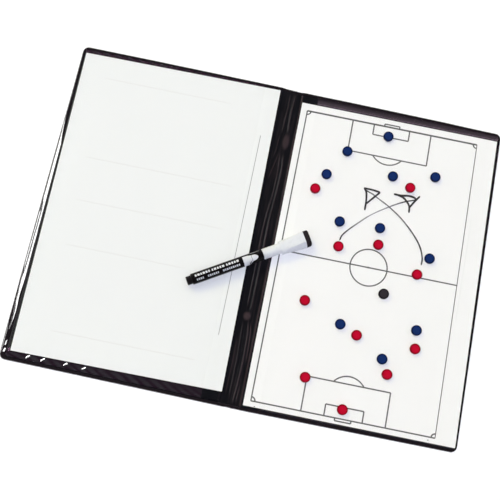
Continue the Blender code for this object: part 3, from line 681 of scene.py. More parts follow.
# The bead's section: (inset, height) of its foot and its inner end, and the insets of its rounded top
BEAD_FOOT = [(0.35, 0.1), (0.02, 0.42), (0.08, 0.66)]
BEAD_END = (BEAD_WIDTH, 0.25)
BEAD_INSETS = np.concatenate([[0.14], np.linspace(0.3, 2.85, 20), [2.95]])
BEAD_FLATNESS = 3.2
BEAD_INNER_FLATNESS = 9.0


def round_level(inset):
    """Share of the bead's height over its shoulder: flat-topped, its outer side rounder than its inner."""
    start = BEAD_INSETS[0]
    half = (BEAD_WIDTH - start) / 2
    side_on = np.clip((inset - start - half) / half, -1.0, 1.0)
    flatness = BEAD_FLATNESS if side_on < 0 else BEAD_INNER_FLATNESS
    return (1.0 - abs(side_on) ** flatness) ** (1.0 / flatness)


def facet_shares(x, y, centre, angle, half_size):
    """How far along and across a facet a place lies, as shares of its half-sizes."""
    c, s = math.cos(math.radians(angle)), math.sin(math.radians(angle))
    dx, dy = x - centre[0], y - centre[1]
    return np.abs(c * dx + s * dy) / half_size[0], np.abs(c * dy - s * dx) / half_size[1]


def faceted(height, x, y, centre, level, slope, angle, half_size):
    """The height with a small flat, slanted facet pulled out of it, long in the direction of angle."""
    along, across = facet_shares(x, y, centre, angle, half_size)
    held = (1.0 - smoothstep(along, 0.8, 1.3)) * (1.0 - smoothstep(across, 0.75, 1.4))
    facet = level + slope[0] * (x - centre[0]) + slope[1] * (y - centre[1])
    return height + (facet - height) * held


def edge_bow(side, x, y):
    """How far a cover's side edge runs out in x. It fades away over the bead's inner side."""
    return np.interp(y, *zip(*EDGE_BOWS[side])) * smoothstep(x, REACH_X - 8.0, REACH_X - 4.0)


def end_bow(side, x, y):
    """How far the top and foot of a cover run out in y. It fades away over the margin inside the bead."""
    top = np.interp(side * x, *zip(*TOP_BOW))
    foot = np.interp(side * x, *zip(*FOOT_BOW))
    return np.where(y > 0, top, -foot) * smoothstep(np.abs(y), REACH_Y - 14.0, REACH_Y - BEAD_WIDTH)


def pressed_height(inset, y):
    """Height of the slanted band of the left bead at one inset, along y."""
    ys, starts, ends, past_notch = zip(*PRESSED_BAND)
    before = np.clip(np.interp(y, ys, starts) - inset, 0.0, None)
    after = np.clip(inset - np.interp(y, ys, ends), 0.0, None)
    goes_on = np.interp(y, ys, past_notch)
    notch = swell(before, *NOTCH) * goes_on
    rolled = ROLL_OFF * ((1.0 - goes_on) * before ** 2 + after ** 2)
    return np.maximum(BAND_FLOOR + BAND_SLOPE * inset - notch - rolled, FLANGE_HEIGHT)


def bead_top(side, x, y, inset):
    """Height of the bead's rounded top, with small swells, and on the left its pressed band and facets."""
    run = np.concatenate([[0.0], np.cumsum(np.hypot(np.diff(x), np.diff(y)))])
    rise = SPINE_RIM_HEIGHT + (BEAD_HEIGHT - SPINE_RIM_HEIGHT) * smoothstep(x, *RIM_RISE)
    uneven = 1.0 + BEAD_SWELL * value_noise(run, inset, 5 + side, *BEAD_SWELL_SIZE) - BEAD_SINK
    z = BEAD_SHOULDER + (rise * uneven - BEAD_SHOULDER) * round_level(inset)
    if side > 0:
        return z
    whole_bow = edge_bow(side, x, y)
    bow = whole_bow * (1.0 - inset / BEAD_WIDTH)
    share = (x > REACH_X - BEAD_WIDTH - 0.1) * smoothstep(y, *BAND_FOOT) * (1.0 - smoothstep(y, *BAND_TOP))
    on_flange = inset - bow + whole_bow < FLANGE_WIDTH
    pressed = np.where(on_flange, FLANGE_HEIGHT, pressed_height(inset - bow, y))
    z = z + (pressed - z) * share
    for centre, slope, angle, half_size in BEAD_FACETS:
        z = faceted(z, -(x + bow), y, centre, BEAD_FACET_LEVEL, slope, angle, half_size)
    return z


def weld_bead(side, label):
    """The weld: a flattened bead that dips at the spine's ends."""
    rings = []
    for inset, level in [*BEAD_FOOT, *((inset, None) for inset in BEAD_INSETS), BEAD_END]:
        x, y = bead_path(inset).T
        z = bead_top(side, x, y, inset) if level is None else level
        outwards = 1.0 - inset / BEAD_WIDTH
        dip = np.interp(side * x, *zip(*SPINE_END_DIPS)) * np.where(y > 0, 1.0, FOOT_DIP_SHARE)
        dipped_y = y - np.sign(y) * dip * outwards + end_bow(side, x, y)
        rings.append(stacked(side, x + edge_bow(side, x, y) * outwards, dipped_y, z))
    return loft(f"{label}_weld_bead", np.stack(rings, axis=1), PVC_WELD, sharp_angle=60.0)


def build_shell(side, label):
    """The sheets and bead of one half. Each bends over the crease, from the spine to its cover."""
    outer = outer_sheet(side, label)
    bead = weld_bead(side, label)
    inner = inner_skin(side, label)
    for piece in (outer, bead, inner):
        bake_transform(piece)
    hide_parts(f"{label}_outer_skin", "spine_outer_skin")
    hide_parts(f"{label}_inner_skin", "spine_inner_skin")


# Clear pockets

LEFT_BOARD_TURN = 0.45
# Pinches of the film by the left cover's lower edge: centre, and the slope along x that each is held at
FILM_PINCHES = [
    (-190.9, -151.8, 0.262), (-176.8, -151.9, 0.272), (-155.4, -151.7, 0.289), (-138.2, -152.1, 0.300),
]
PINCH_LEVEL = 4.2
PINCH_SLOPE_Y = -0.13
PINCH_ANGLE = 32.0
PINCH_SIZE = (2.7, 1.20)
PINCH_SHARE = 0.9
# Where the film is near a cover's ends it slopes up to the board more gently
END_Y = 140
SIDE_STEP_END = 1.5
# Waves of the film, left and right: their length and height
WAVE_LENGTH = {-1: 11.5, 1: 17.0}
WAVE_HEIGHT = {-1: 0.42, 1: 0.22}
# Fields of noise on the film: seed, and the size of their features along x and y
LEFT_BENDS = (11, 30.0, 9.0)
LEFT_STRENGTH = (12, 17.0, 30.0)
LEFT_CLOUDS = (16, 9.0, 5.0)
RIGHT_BENDS = (13, 26.0, 9.0)
RIGHT_STREAKS = (15, 75.0, 1.6)
FILM_SAG = (14, 22.0, 31.0)


def board_place(node, turn_degrees):
    """A board's centre, width and height, and turn, from the box round it."""
    low, high = (corner[:2] for corner in box_mm(node))
    turn = math.radians(turn_degrees)
    c, s = math.cos(turn), math.sin(turn)
    return (low + high) / 2, np.linalg.solve([[c, s], [s, c]], high - low), turn


def outside_board(place, x, y):
    """How far each point lies outside a board's edge."""
    (cx, cy), (width, height), turn = place
    u = (x - cx) * math.cos(turn) + (y - cy) * math.sin(turn)
    v = (y - cy) * math.cos(turn) - (x - cx) * math.sin(turn)
    return np.maximum(np.abs(u) - width / 2, np.abs(v) - height / 2)


def film_ripples(side, x, y, outside):
    """Height of the film's folds and waves, and the tone of the film where no board holds it flat: its
    cloudiness, with a painted sheen along the left waves' crests and in a band along the right margin.
    """
    if side < 0:
        slant = x + 1.9 * (y + 150) + 5.0 * value_noise(x, y, *LEFT_BENDS)
    else:
        slant = x - 1.2 * (y - 150) + 6.0 * value_noise(x, y, *RIGHT_BENDS)
    swing = np.sin(slant * 2 * math.pi / WAVE_LENGTH[side])
    height = WAVE_HEIGHT[side] * (0.5 + 0.5 * swing) ** 2
    if side < 0:
        strong = smoothstep(x, -205, -140) * (1.0 - 0.5 * smoothstep(x, -60, -30))
        height = height * (0.6 + 0.4 * value_noise(x, y, *LEFT_STRENGTH)) * (0.25 + 0.75 * strong)
        height = height * smoothstep(outside, 0.8, 3.0)
        # Painted sheen: lighter along the crests of the waves
        film_tone = smoothstep(swing, -0.7, 0.2) * smoothstep(outside, 0.2, 2.6)
        film_tone = film_tone * (0.7 + 0.3 * value_noise(x, y, *LEFT_CLOUDS))
    else:
        height = height * smoothstep(outside, 1.8, 5.0)
        # Painted sheen: a lighter band along the margin beside the board
        film_tone = smoothstep(outside, -0.8, 2.4) * (1.0 - 0.85 * smoothstep(outside, 3.2, 7.0))
        film_tone = film_tone * (0.85 + 0.20 * value_noise(x, y, *RIGHT_STREAKS))
    return height + 0.03 * (1 + value_noise(x, y, *FILM_SAG)), np.clip(film_tone, 0.0, 1.0)


def in_pinch(x, y):
    """Whether a place on the left film lies on one of its pinches."""
    shares = [facet_shares(x, y, pinch[:2], PINCH_ANGLE, PINCH_SIZE) for pinch in FILM_PINCHES]
    return any(along < PINCH_SHARE and across < PINCH_SHARE for along, across in shares)


def pocket_film(side, label, place):
    """Film welded along three sides. It lies on the inner skin and slopes up over the board."""
    reach_x, reach_y = REACH_X - FILM_FOOT_INSET, REACH_Y - FILM_FOOT_INSET
    wall = graded((0, 0.9, 0.15), (0.9, 13, 0.45))
    runs = [(FILM_EDGE_X, reach_x - 13.8, 1.6)]
    if side < 0:
        runs = [(FILM_EDGE_X, 134, 2.0), (134, reach_x - 13.8, 0.5)]
    xs = np.concatenate([graded(*runs), (reach_x - wall)[::-1]])
    ys = mirrored_lines(reach_y, wall, 15, 9.0)
    x, y, inset = cover_grid(xs, ys, reach_x, reach_y, COVER_RADIUS - FILM_FOOT_INSET)
    y = y + end_bow(side, x, y)
    outside = outside_board(place, side * x, y)
    step_end = np.where(np.abs(y) > END_Y, FILM_STEP_END, SIDE_STEP_END)
    down = np.clip((outside - FILM_STEP_START) / (step_end - FILM_STEP_START), 0.0, 1.0)
    ripples, film_tone = film_ripples(side, side * x, y, outside)
    height = FILM_ON_SKIN + (FILM_ON_BOARD - FILM_ON_SKIN) * (1.0 - down) ** 2 + ripples
    if side < 0:
        for px, py, slope_x in FILM_PINCHES:
            slope = (slope_x, PINCH_SLOPE_Y)
            height = faceted(height, -x, y, (px, py), PINCH_LEVEL, slope, PINCH_ANGLE, PINCH_SIZE)
    height = np.where(outside < FILM_STEP_START, FILM_ON_BOARD, height)
    height = np.minimum(height, FILM_FOOT + FILM_WALL_SLOPE * inset)
    half = FILM_THICKNESS / 2
    film = sheet_solid(f"{label}_clear_pocket", side, x, y, height + half, height - half, FILM, 55.0)
    float_attribute(film, "film_tone", [film_tone, film_tone])
    film.data.materials.append(FILM_MARGINS[side])
    film.data.materials.append(FILM_GLINT)
    (_, centre_y), (_, board_height), _ = place
    for face in film.data.polygons:
        fx, fy, _ = face.center / MM
        beyond_end = abs(fy) > abs(centre_y + math.copysign(board_height / 2 - 1, fy))
        off_board = outside_board(place, fx, fy) >= FILM_STEP_START
        if beyond_end and off_board and abs(face.normal.z) >= 0.9:
            # Pinch facets take the whiter film of the painted glints
            face.material_index = 2 if side < 0 and in_pinch(fx, fy) else 1
    hand_over(film, f"{label}_cover", f"{label}_pocket_film")


# Printed lines and ink strokes


class Marks:
    """Flat strips and loops about a centre, stored together as one thin piece."""

    def __init__(self, centre=(0.0, 0.0), low=BOARD_TOP, thickness=PRINT_THICKNESS):
        self.points, self.faces, self.ink = [], [], []
        self.centre = centre
        self.low = low
        self.top = low + thickness

    def strip(self, line, widths=PRINT_LINE, ink=0.0, closed=False):
        """A strip along line. widths and ink are one number each, or one for each point."""
        line = np.asarray(line, float)
        count = len(line)
        if closed:
            ahead, behind = np.roll(line, -1, axis=0), np.roll(line, 1, axis=0)
        else:
            ahead = np.vstack([line[1:], 2 * line[-1] - line[-2]])
            behind = np.vstack([2 * line[0] - line[1], line[:-1]])
        tangent, before = ahead - behind, line - behind
        for vectors in (tangent, before):
            vectors /= np.linalg.norm(vectors, axis=1)[:, None]
        normal = np.stack([-tangent[:, 1], tangent[:, 0]], axis=1)
        stretch = 1.0 / np.maximum(0.5, np.abs((tangent * before).sum(axis=1)))
        half = (widths * stretch / 2)[:, None] * normal
        left, right = line + half + self.centre, line - half + self.centre
        self.top += STRIP_STAGGER
        low, top = self.low, self.top
        self.faces += tube_faces(count, 4, len(self.points), closed)
        for a, b in zip(left, right):
            self.points += [(*a, low), (*b, low), (*b, top), (*a, top)]
        self.ink.extend(np.repeat(np.broadcast_to(ink, count), 4))

    def open_box(self, width, base, edge):
        """Three sides of a rectangle that stands on base and ends at edge."""
        corners = [(-width / 2, base), (-width / 2, edge), (width / 2, edge), (width / 2, base)]
        for side in zip(corners, corners[1:]):
            self.strip(side)

    def store(self, name, material, body):
        obj = mesh_object(name, self.points, self.faces, material)
        if any(self.ink):
            float_attribute(obj, "ink", self.ink)
        hand_over(obj, body)


def arc(centre, radius, start, end, steps):
    angles = np.radians(np.linspace(start, end, steps + 1))
    return [(centre[0] + radius * math.cos(a), centre[1] + radius * math.sin(a)) for a in angles]


# The printed pitch. Areas and the goal's mouth are given by width and depth.
PITCH_OFFSET = (-6.55, -1.15)
PITCH_WIDTH = 173.0
PITCH_LENGTH = 291.1
OUTLINE_WIDTHS = (1.3, 0.85, 1.7, 1.2)
PENALTY_AREA = (79.3, 32.5)
GOAL_AREA = (36.0, 10.8)
CIRCLE_RADIUS = 18.0
ARC_HALF_CHORD = 14.4
ARC_DEPTH = 7.2
GOAL_MOUTH = (15.2, 2.5)
CORNER_RADIUS = 3.8
SPOT_RADIUS = 0.4


def pitch_print(place):
    """The printed pitch, in pieces: its outline, its middle, and the areas of either end."""
    centre = place[0] + PITCH_OFFSET
    half_w, half_l = PITCH_WIDTH / 2, PITCH_LENGTH / 2
    corners = [(-half_w, -half_l), (half_w, -half_l), (half_w, half_l), (-half_w, half_l)]
    outline = Marks(centre)
    for start, end, width in zip(corners, corners[1:] + corners[:1], OUTLINE_WIDTHS):
        outline.strip([start, end], width)
    for corner, turn in zip(corners, (0, 90, 180, 270)):
        outline.strip(arc(corner, CORNER_RADIUS, turn, turn + 90, 8))
    outline.store("pitch_outline", PITCH_INK, "pitch_board")

    middle = Marks(centre)
    middle.strip([(-half_w, 0), (half_w, 0)])
    for radius, steps in ((CIRCLE_RADIUS, 72), (SPOT_RADIUS, 12)):
        middle.strip(arc((0, 0), radius, 0, 360, steps)[:-1], closed=True)
    middle.store("pitch_middle", PITCH_INK, "pitch_board")

    arc_radius = (ARC_HALF_CHORD ** 2 + ARC_DEPTH ** 2) / (2 * ARC_DEPTH)
    arc_reach = math.degrees(math.asin(ARC_HALF_CHORD / arc_radius))
    for end, label in ((1, "top"), (-1, "bottom")):
        areas = Marks(centre)
        for width, depth in (PENALTY_AREA, GOAL_AREA):
            areas.open_box(width, end * half_l, end * (half_l - depth))
        arc_centre = (0, end * (half_l - PENALTY_AREA[1] - ARC_DEPTH + arc_radius))
        areas.strip(arc(arc_centre, arc_radius, -90 * end - arc_reach, -90 * end + arc_reach, 20))
        areas.open_box(GOAL_MOUTH[0], end * half_l, end * (half_l + GOAL_MOUTH[1]))
        areas.store(f"pitch_areas_{label}", PITCH_INK, "pitch_board")


# Fainter print: its ink, the board it is on, how wide it is and its lines. A rule beside the pitch, two
# pin-prick marks at that board's foot, a rule on the writing board by the spine, and lines that show through.
FAINT_PRINTS = {
    "pitch_side_rule": (GHOST_INK, "pitch_board", 0.7, [[(196.8, 66.0), (196.2, 20.0), (195.4, -39.0)]]),
    "pitch_board_dots": (PALE_INK, "pitch_board", 0.9, [
        [(22.2, -155.3), (23.4, -155.3)], [(184.9, -153.7), (186.1, -153.7)],
    ]),
    "writing_board_rule": (PALE_INK, "writing_board", 0.55, [[(-22.2, 104.8), (-22.9, -97.2)]]),
    "writing_board_show_through": (GHOST_INK, "writing_board", 1.1, [
        [(-186.0, 131.6), (-57.0, 131.6)],
        [(-185.9, 47.4), (-39.5, 47.4)],
        [(-184.8, 3.6), (-39.6, 3.6)],
        [(-183.6, -41.5), (-67.0, -41.5)],
        [(-177.0, -124.3), (-39.5, -124.3)],
    ]),
}


def faint_prints():
    for name, (ink, board, width, lines) in FAINT_PRINTS.items():
        marks = Marks()
        for line in lines:
            marks.strip(line, width)
        marks.store(name, ink, board)


# Hand-drawn strokes on the film: points, width, and how dry the ink is at each point
INK_STROKES = {
    "arrow_right_shaft": (
        [(73.2, 15.6), (74.3, 20.3), (77.9, 25.6), (85.0, 33.3), (98.3, 46.4), (114.6, 58.2), (128.0, 66.1),
         (140.6, 71.2)],
        1.35, [0.0, 0.0, 0.05, 0.30, 0.75, 0.45, 0.10, 0.0]),
    "arrow_right_head_top": (
        [(117.6, 72.4), (124.7, 72.3), (132.0, 73.5), (137.6, 72.9), (141.2, 70.8)], 2.0, 0.0),
    "arrow_right_head_low": (
        [(121.0, 72.2), (127.2, 70.6), (131.5, 67.1), (134.4, 62.8), (135.0, 56.6)], 1.9, 0.0),
    "arrow_right_head_side": ([(143.2, 75.4), (139.8, 70.6), (137.4, 66.6), (134.6, 61.8)], 1.9, 0.0),
    "arrow_left_shaft": (
        [(88.6, 70.9), (93.3, 69.3), (97.4, 67.8), (103.4, 64.6), (115.3, 58.3), (129.1, 48.8), (142.2, 36.3),
         (150.5, 25.4), (154.5, 14.9), (154.7, 7.4)],
        1.45, [0.1, 0.1, 0.2, 0.30, 0.25, 0.15, 0.05, 0.0, 0.05, 0.2]),
    "arrow_left_head_top": ([(87.5, 72.3), (96.0, 72.2), (104.0, 71.2)], 1.9, 0.0),
    "arrow_left_head_side": ([(88.0, 72.0), (90.6, 68.6), (91.9, 60.0), (92.0, 50.2)], 1.8, 0.0),
    "arrow_left_head_low": ([(104.0, 71.2), (97.2, 63.0), (92.2, 56.8)], 1.9, 0.0),
}
STROKE_STEP = 0.9
# Each stroke lies a little over the one before
STROKE_RISE = 0.004


def smooth_curve(points, step):
    """A curve through points, at about the given step, and each sample's place among the points."""
    points = np.asarray(points, float)
    ends = np.vstack([2 * points[0] - points[1], points, 2 * points[-1] - points[-2]])
    samples, places = [], []
    for i in range(1, len(ends) - 2):
        p0, p1, p2, p3 = ends[i - 1:i + 3]
        count = max(2, int(np.linalg.norm(p2 - p1) / step))
        for k in range(count):
            t = k / count
            blend = 2 * p1 + (p2 - p0) * t + (2 * p0 - 5 * p1 + 4 * p2 - p3) * t ** 2
            samples.append((blend + (3 * p1 - p0 - 3 * p2 + p3) * t ** 3) / 2)
            places.append(i - 1 + t)
    return np.array([*samples, points[-1]]), np.array([*places, len(points) - 1])


def ink_strokes():
    """The arrows drawn on the film. A stroke is narrower at its ends and where it is dry."""
    for number, (name, (points, width, dry)) in enumerate(INK_STROKES.items()):
        line, places = smooth_curve(points, STROKE_STEP)
        dry = np.interp(places, range(len(points)), np.broadcast_to(dry, len(points)))
        run = np.arange(len(line)) * STROKE_STEP
        wobble = value_noise(run, 0.0, 20 + number, 4.0, 1.0)
        ends = smoothstep(run, -0.6, 1.2) * smoothstep(run[::-1], -0.6, 1.2)
        widths = width * (1.0 - 0.38 * dry + 0.10 * wobble) * (0.45 + 0.55 * ends)
        patches = 0.18 * value_noise(run, 0.0, 40 + number, 2.5, 1.0) * (dry > 0.02)
        marks = Marks(low=FILM_TOP + STROKE_RISE * number, thickness=INK_THICKNESS)
        marks.strip(line, widths, np.clip(dry + patches, 0.001, 1.0))
        marks.store(name, INK, "right_cover")


# Counters

COUNTER_EDGE = 0.55
COUNTER_DISH = 0.12
# Profiles start and end this far from their axis, all but on it
ON_AXIS = 0.02


def revolved(name, profile, material, place_of, steps=48):
    """A solid of revolution from (along, radius) points. place_of turns (along, u, v) into a place."""
    turns = [(math.cos(a), math.sin(a)) for a in np.linspace(0, 2 * math.pi, steps, endpoint=False)]
    rings = [[place_of(along, radius * u, radius * v) for u, v in turns] for along, radius in profile]
    return loft(name, rings, material)


def rounded(centre, radius, start_degrees, end_degrees, steps):
    """The points of an arc in a profile. centre is (along, radius)."""
    angles = np.radians(np.linspace(start_degrees, end_degrees, steps + 1))
    return [(centre[0] + radius * math.sin(a), centre[1] + radius * math.cos(a)) for a in angles]


def counter_mesh(name, material, radius, height):
    """A moulded disc: its upper edge is rounded and its face a little dished inside a low rim."""
    rim = radius - COUNTER_EDGE
    profile = [(0.0, ON_AXIS), (0.0, radius - 0.5), (0.12, radius - 0.14), (0.35, radius - 0.02)]
    profile += rounded((height - COUNTER_EDGE, rim), COUNTER_EDGE, 0, 90, 6)
    for sunk, inwards in ((0.0, 0.25), (0.35, 0.50), (0.85, 0.95), (1.0, 1.6)):
        profile.append((height - sunk * COUNTER_DISH, rim - inwards))
    profile.append((height - COUNTER_DISH, ON_AXIS))
    obj = revolved(name, profile, material, lambda z, u, v: (u, v, z))
    from_axis = np.array([math.hypot(v.co.x, v.co.y) for v in obj.data.vertices]) / MM
    # Where the rim's painted shade falls
    float_attribute(obj, "rim", smoothstep(from_axis, rim - 1.2, rim - 0.3))
    return obj


def build_counters():
    """A disc for each counter. Those of one colour share a mesh."""
    for colour, material in COUNTER_LOOKS.items():
        shared = None
        for node in sorted(n for n in frame["nodes"] if n.startswith(f"counter_{colour}")):
            low, high = box_mm(node)
            if shared is None:
                disc = counter_mesh(f"{node}_disc", material, (high[1] - low[1]) / 2, high[2] - low[2])
                shared = disc.data
            else:
                disc = new_object(f"{node}_disc", shared)
            disc.location = ((low[0] + high[0]) / 2 * MM, (low[1] + high[1]) / 2 * MM, low[2] * MM)
            body = f"{node}_disc" if f"{node}_disc" in frame["bodies"] else node
            hand_over(disc, body, node)


# Marker. Places along it are lengths from its tail, as in the CAD.

BARREL_START = 4.8
BARREL_END = 76.3
BARREL_RADIUS = 5.3
BARREL_BORE = 4.3
PLUG_RADIUS = 4.25
SPIGOT_RADIUS = BARREL_BORE - 0.3
CAP_RADIUS = 5.2
CAP_BORE = 4.4
CAP_START = 76.6
CAP_END = 97.2
SLEEVE_END = 84.1
CONE_END = 91.1
NIB_BORE = 1.9
NIB_RADIUS = 1.6
NIB_TIP = 95.2
HOLDER_START = 97.5
HOLDER_SLEEVE = 3.5
HOLDER_END = 119.2
FELT_START = 119.5

CAP_PULL = next(joint for joint in frame["joints"] if joint["name"] == "marker_cap_pull")
MARKER_AXIS = Vector(CAP_PULL["axis"]).normalized()
ALONG = np.array(MARKER_AXIS)
ACROSS = np.array((-MARKER_AXIS.y, MARKER_AXIS.x, 0.0))
MARKER_TAIL = sum(box_mm("marker_barrel")) / 2 - ALONG * (BARREL_START + BARREL_END) / 2


def on_marker(along, across, up):
    """The place of a point given along the marker, across it to its left and up."""
    return MARKER_TAIL + ALONG * along + ACROSS * across + np.array((0, 0, up))


def ring_groove(start, end, radius, depth, side=0.15):
    """The points of a shallow groove round a revolved piece."""
    return [(start, radius), (start + side, radius - depth), (end - side, radius - depth), (end, radius)]


def marker_part(name, profile, material, node, steps=48, body="marker"):
    """A revolved piece of the marker, in place of the CAD's node."""
    hand_over(revolved(name, profile, material, on_marker, steps), body, node)


def marker_barrel():
    r = BARREL_RADIUS
    profile = [(BARREL_START, BARREL_BORE), (BARREL_START, r - 0.9)]
    profile += rounded((BARREL_START + 0.9, r - 0.9), 0.9, -90, 0, 5)
    profile += [(BARREL_START + 20, r), (56.0, r)]
    profile += ring_groove(BARREL_END - 2.0, BARREL_END - 1.45, r, 0.10)
    profile += [(BARREL_END - 0.3, r), (BARREL_END, r - 0.3), (BARREL_END, BARREL_BORE)]
    marker_part("marker_barrel_tube", profile, MARKER_BLACK, "marker_barrel", 64)


# Print on the barrel, and a painted highlight: (length, low angle, high angle), angles from straight up,
# positive to the folder's foot
BAND = [(56.4, -37, 120), (61.5, -34, 118), (63.0, -28, 85), (64.2, -25, 58), (65.0, -24, 50)]
NIB_MARK = [
    (65.3, -23, 48), (66.3, -21, 43), (68.2, -19, 40), (69.2, -15, 36), (70.1, -8, 30), (70.8, -1, 24),
    (71.2, 6, 18),
]
# A painted highlight: a thin pale streak along the barrel's upper side, in the tint ink
PAINTED_GLEAM = [(64.5, -53, -49), (74.0, -53, -49)]
# Rows of ticks: start, the two angles, length and gap of a tick, extra gap between groups, groups
WHITE_TICKS = (8.7, -27, -3, 1.80, 0.85, 1.1, (6, 5, 5))
TINT_TICKS = (9.4, 21, 42, 1.30, 0.65, 3.5, (4, 6, 9))
PATCH_RADIUS = BARREL_RADIUS + 0.005
PATCH_THICKNESS = 0.03
PATCH_STEP = 6


def tick_row(start, low, high, length, gap, group_gap, groups):
    """The outlines of a row of plain ticks of uneven length."""
    outlines = []
    for group in groups:
        for index in range(group):
            end = start + length * (1.0 + 0.25 * math.sin(2.4 * index + group))
            outlines.append([(start, low, high), (end, low, high)])
            start = end + gap
        start += group_gap
    return outlines


def wrapped_print(ink, outlines):
    """Thin patches on the barrel, together one piece: its print, and a painted highlight where one is given.
    """
    points, faces = [], []
    for outline in outlines:
        columns = max(2, int((outline[0][2] - outline[0][1]) / PATCH_STEP) + 1)
        faces += sheet_faces(len(outline), columns, len(points))
        for r in (PATCH_RADIUS + PATCH_THICKNESS, PATCH_RADIUS):
            for along, low, high in outline:
                for angle in np.radians(np.linspace(low, high, columns)):
                    points.append(on_marker(along, -r * math.sin(angle), r * math.cos(angle)))
    hand_over(mesh_object(ink.name, points, faces, ink), "marker")


def marker_inside():
    """End plug, nib section and nib. The last two show once the cap is pulled."""
    plug_end = BARREL_START - 0.3
    plug = [(0.0, ON_AXIS), (0.0, PLUG_RADIUS - 0.7)]
    plug += rounded((0.7, PLUG_RADIUS - 0.7), 0.7, -90, 0, 5)
    plug += ring_groove(2.0, 2.6, PLUG_RADIUS, 0.12)
    plug += [(plug_end, PLUG_RADIUS), (plug_end, SPIGOT_RADIUS), (9.0, SPIGOT_RADIUS), (9.0, ON_AXIS)]
    marker_part("marker_tail_plug", plug, MARKER_GREY, "marker_end_plug")

    sleeve = CAP_BORE - 0.3
    section = [(66.8, NIB_BORE), (66.8, SPIGOT_RADIUS), (CAP_START, SPIGOT_RADIUS), (CAP_START, sleeve - 0.1)]
    section += [(CAP_START + 0.3, sleeve), *ring_groove(79.4, 80.4, sleeve, 0.15, 0.2)]
    section += rounded((SLEEVE_END - 0.5, sleeve - 0.5), 0.5, 0, 80, 4)
    section += [(SLEEVE_END + 1.7, 3.2), (CONE_END - 0.3, 2.5), (CONE_END, 2.3), (CONE_END, NIB_BORE)]
    marker_part("marker_section", section, MARKER_BLACK, "marker_nib_section")

    nib = [(63.5, ON_AXIS), (63.5, NIB_RADIUS)]
    nib += [(NIB_TIP - back, r) for back, r in ((2.4, NIB_RADIUS), (1.7, 1.45), (0.9, 1.15), (0.3, 0.65))]
    nib.append((NIB_TIP, ON_AXIS))
    marker_part("marker_bullet_nib", nib, INK_FIBRE, "marker_nib", 32)


def marker_cap():
    r = CAP_RADIUS
    profile = [(96.0, ON_AXIS), (96.0, 2.6), (94.2, CAP_BORE), (CAP_START, CAP_BORE), (CAP_START, r - 0.35)]
    profile += rounded((CAP_START + 0.35, r - 0.35), 0.35, -90, 0, 3)
    profile += ring_groove(CAP_START + 1.4, CAP_START + 2.05, r, 0.08)
    profile += rounded((CAP_END - 0.5, r - 0.5), 0.5, 0, 90, 4)
    profile += [(CAP_END, 3.0), (CAP_END + 6.0, 3.0), (CAP_END + 6.0, ON_AXIS)]
    marker_part(
        "marker_cap_shell", profile, MARKER_WHITE, "marker_cap", 64, body="marker_cap_unit")


POINTS_PER_CORNER = 8


def squircle(along, width, thickness, radius, bevel=9.0):
    """A rounded rectangle across the marker. Its upper corner is cut off beyond bevel, on the foot side."""
    points = []
    for quarter, (sx, sy) in enumerate(((1, 1), (-1, 1), (-1, -1), (1, -1))):
        for k in range(POINTS_PER_CORNER + 1):
            angle = math.radians(90 * quarter + 90 * k / POINTS_PER_CORNER)
            across = sx * (width / 2 - radius) + radius * math.cos(angle)
            up = sy * (thickness / 2 - radius) + radius * math.sin(angle)
            if quarter == 1 and k == 0:
                points.append(on_marker(along, max(-bevel, across + 0.05), thickness / 2))
            up = min(up, thickness / 2 - max(0.0, -across - bevel))
            points.append(on_marker(along, across, up))
    return points


# The eraser. Its holder's collar: (length from its mouth, width, thickness, corner radius)
HOLDER_COLLAR = [
    (0.0, 12.4, 10.7, 5.0), (0.2, 13.2, 10.85, 4.9), (0.6, 13.6, 10.9, 4.8), (1.3, 13.65, 10.9, 4.7),
    (1.6, 13.55, 10.8, 4.6), (1.8, 13.35, 10.6, 4.5), (2.1, 13.35, 10.55, 4.5),
]
# Where it widens to its pad: width, corner radius and bevel at either end of the flare
FLARE_FROM = np.array((13.4, 4.5, 4.1))
FLARE_TO = np.array((15.5, 2.6, 3.2))
FLARE_THICKNESS = 10.6
# The felt's domed end: (length, and its width, thickness and corner radius as shares of its start's)
FELT_CROWN = [
    (0.0, 1.00, 1.00, 1.00), (3.1, 1.00, 1.00, 1.00), (3.9, 0.985, 0.975, 0.95), (4.4, 0.94, 0.90, 0.85),
    (4.8, 0.82, 0.74, 0.70), (5.05, 0.60, 0.48, 0.50), (5.2, 0.34, 0.22, 0.27),
]
FELT_WIDTH = 15.3
FELT_THICKNESS = 10.4
FELT_RADIUS = 2.2
FELT_BEVEL = 4.4


def eraser():
    """The holder, a sleeve on the cap's end that widens to a flat pad, and the felt glued to its end."""
    mouth = HOLDER_START - HOLDER_SLEEVE
    bore = 2 * CAP_RADIUS + 0.2
    rings = [squircle(along, bore, bore, 5.2) for along in (HOLDER_START - 0.1, mouth)]
    rings += [squircle(mouth + at, *size) for at, *size in HOLDER_COLLAR]
    flare_start, flare_end = mouth + 2.5, HOLDER_END - 0.4
    for share in np.linspace(0, 1, 12):
        at = flare_start + (flare_end - flare_start) * share
        shares = np.array((smoothstep(share, 0.0, 1.0), share, share))
        width, radius, bevel = FLARE_FROM + (FLARE_TO - FLARE_FROM) * shares
        rings.append(squircle(at, width, FLARE_THICKNESS, radius, bevel))
    rings.append(squircle(HOLDER_END, 15.2, 10.3, 2.4, 3.2))
    holder = loft("eraser_holder_shell", rings, MARKER_WHITE)
    hand_over(holder, "marker_cap_unit", "marker_eraser_holder")

    rings = []
    for at, wide, thick, rounding in FELT_CROWN:
        size = (FELT_WIDTH * wide, FELT_THICKNESS * thick, FELT_RADIUS * rounding, FELT_BEVEL * wide)
        rings.append(squircle(FELT_START + at, *size))
    felt = loft("eraser_felt_pad", rings, FELT, sharp_angle=60.0)
    hand_over(felt, "marker_cap_unit", "marker_eraser_felt")


# Carried-over CAD pieces

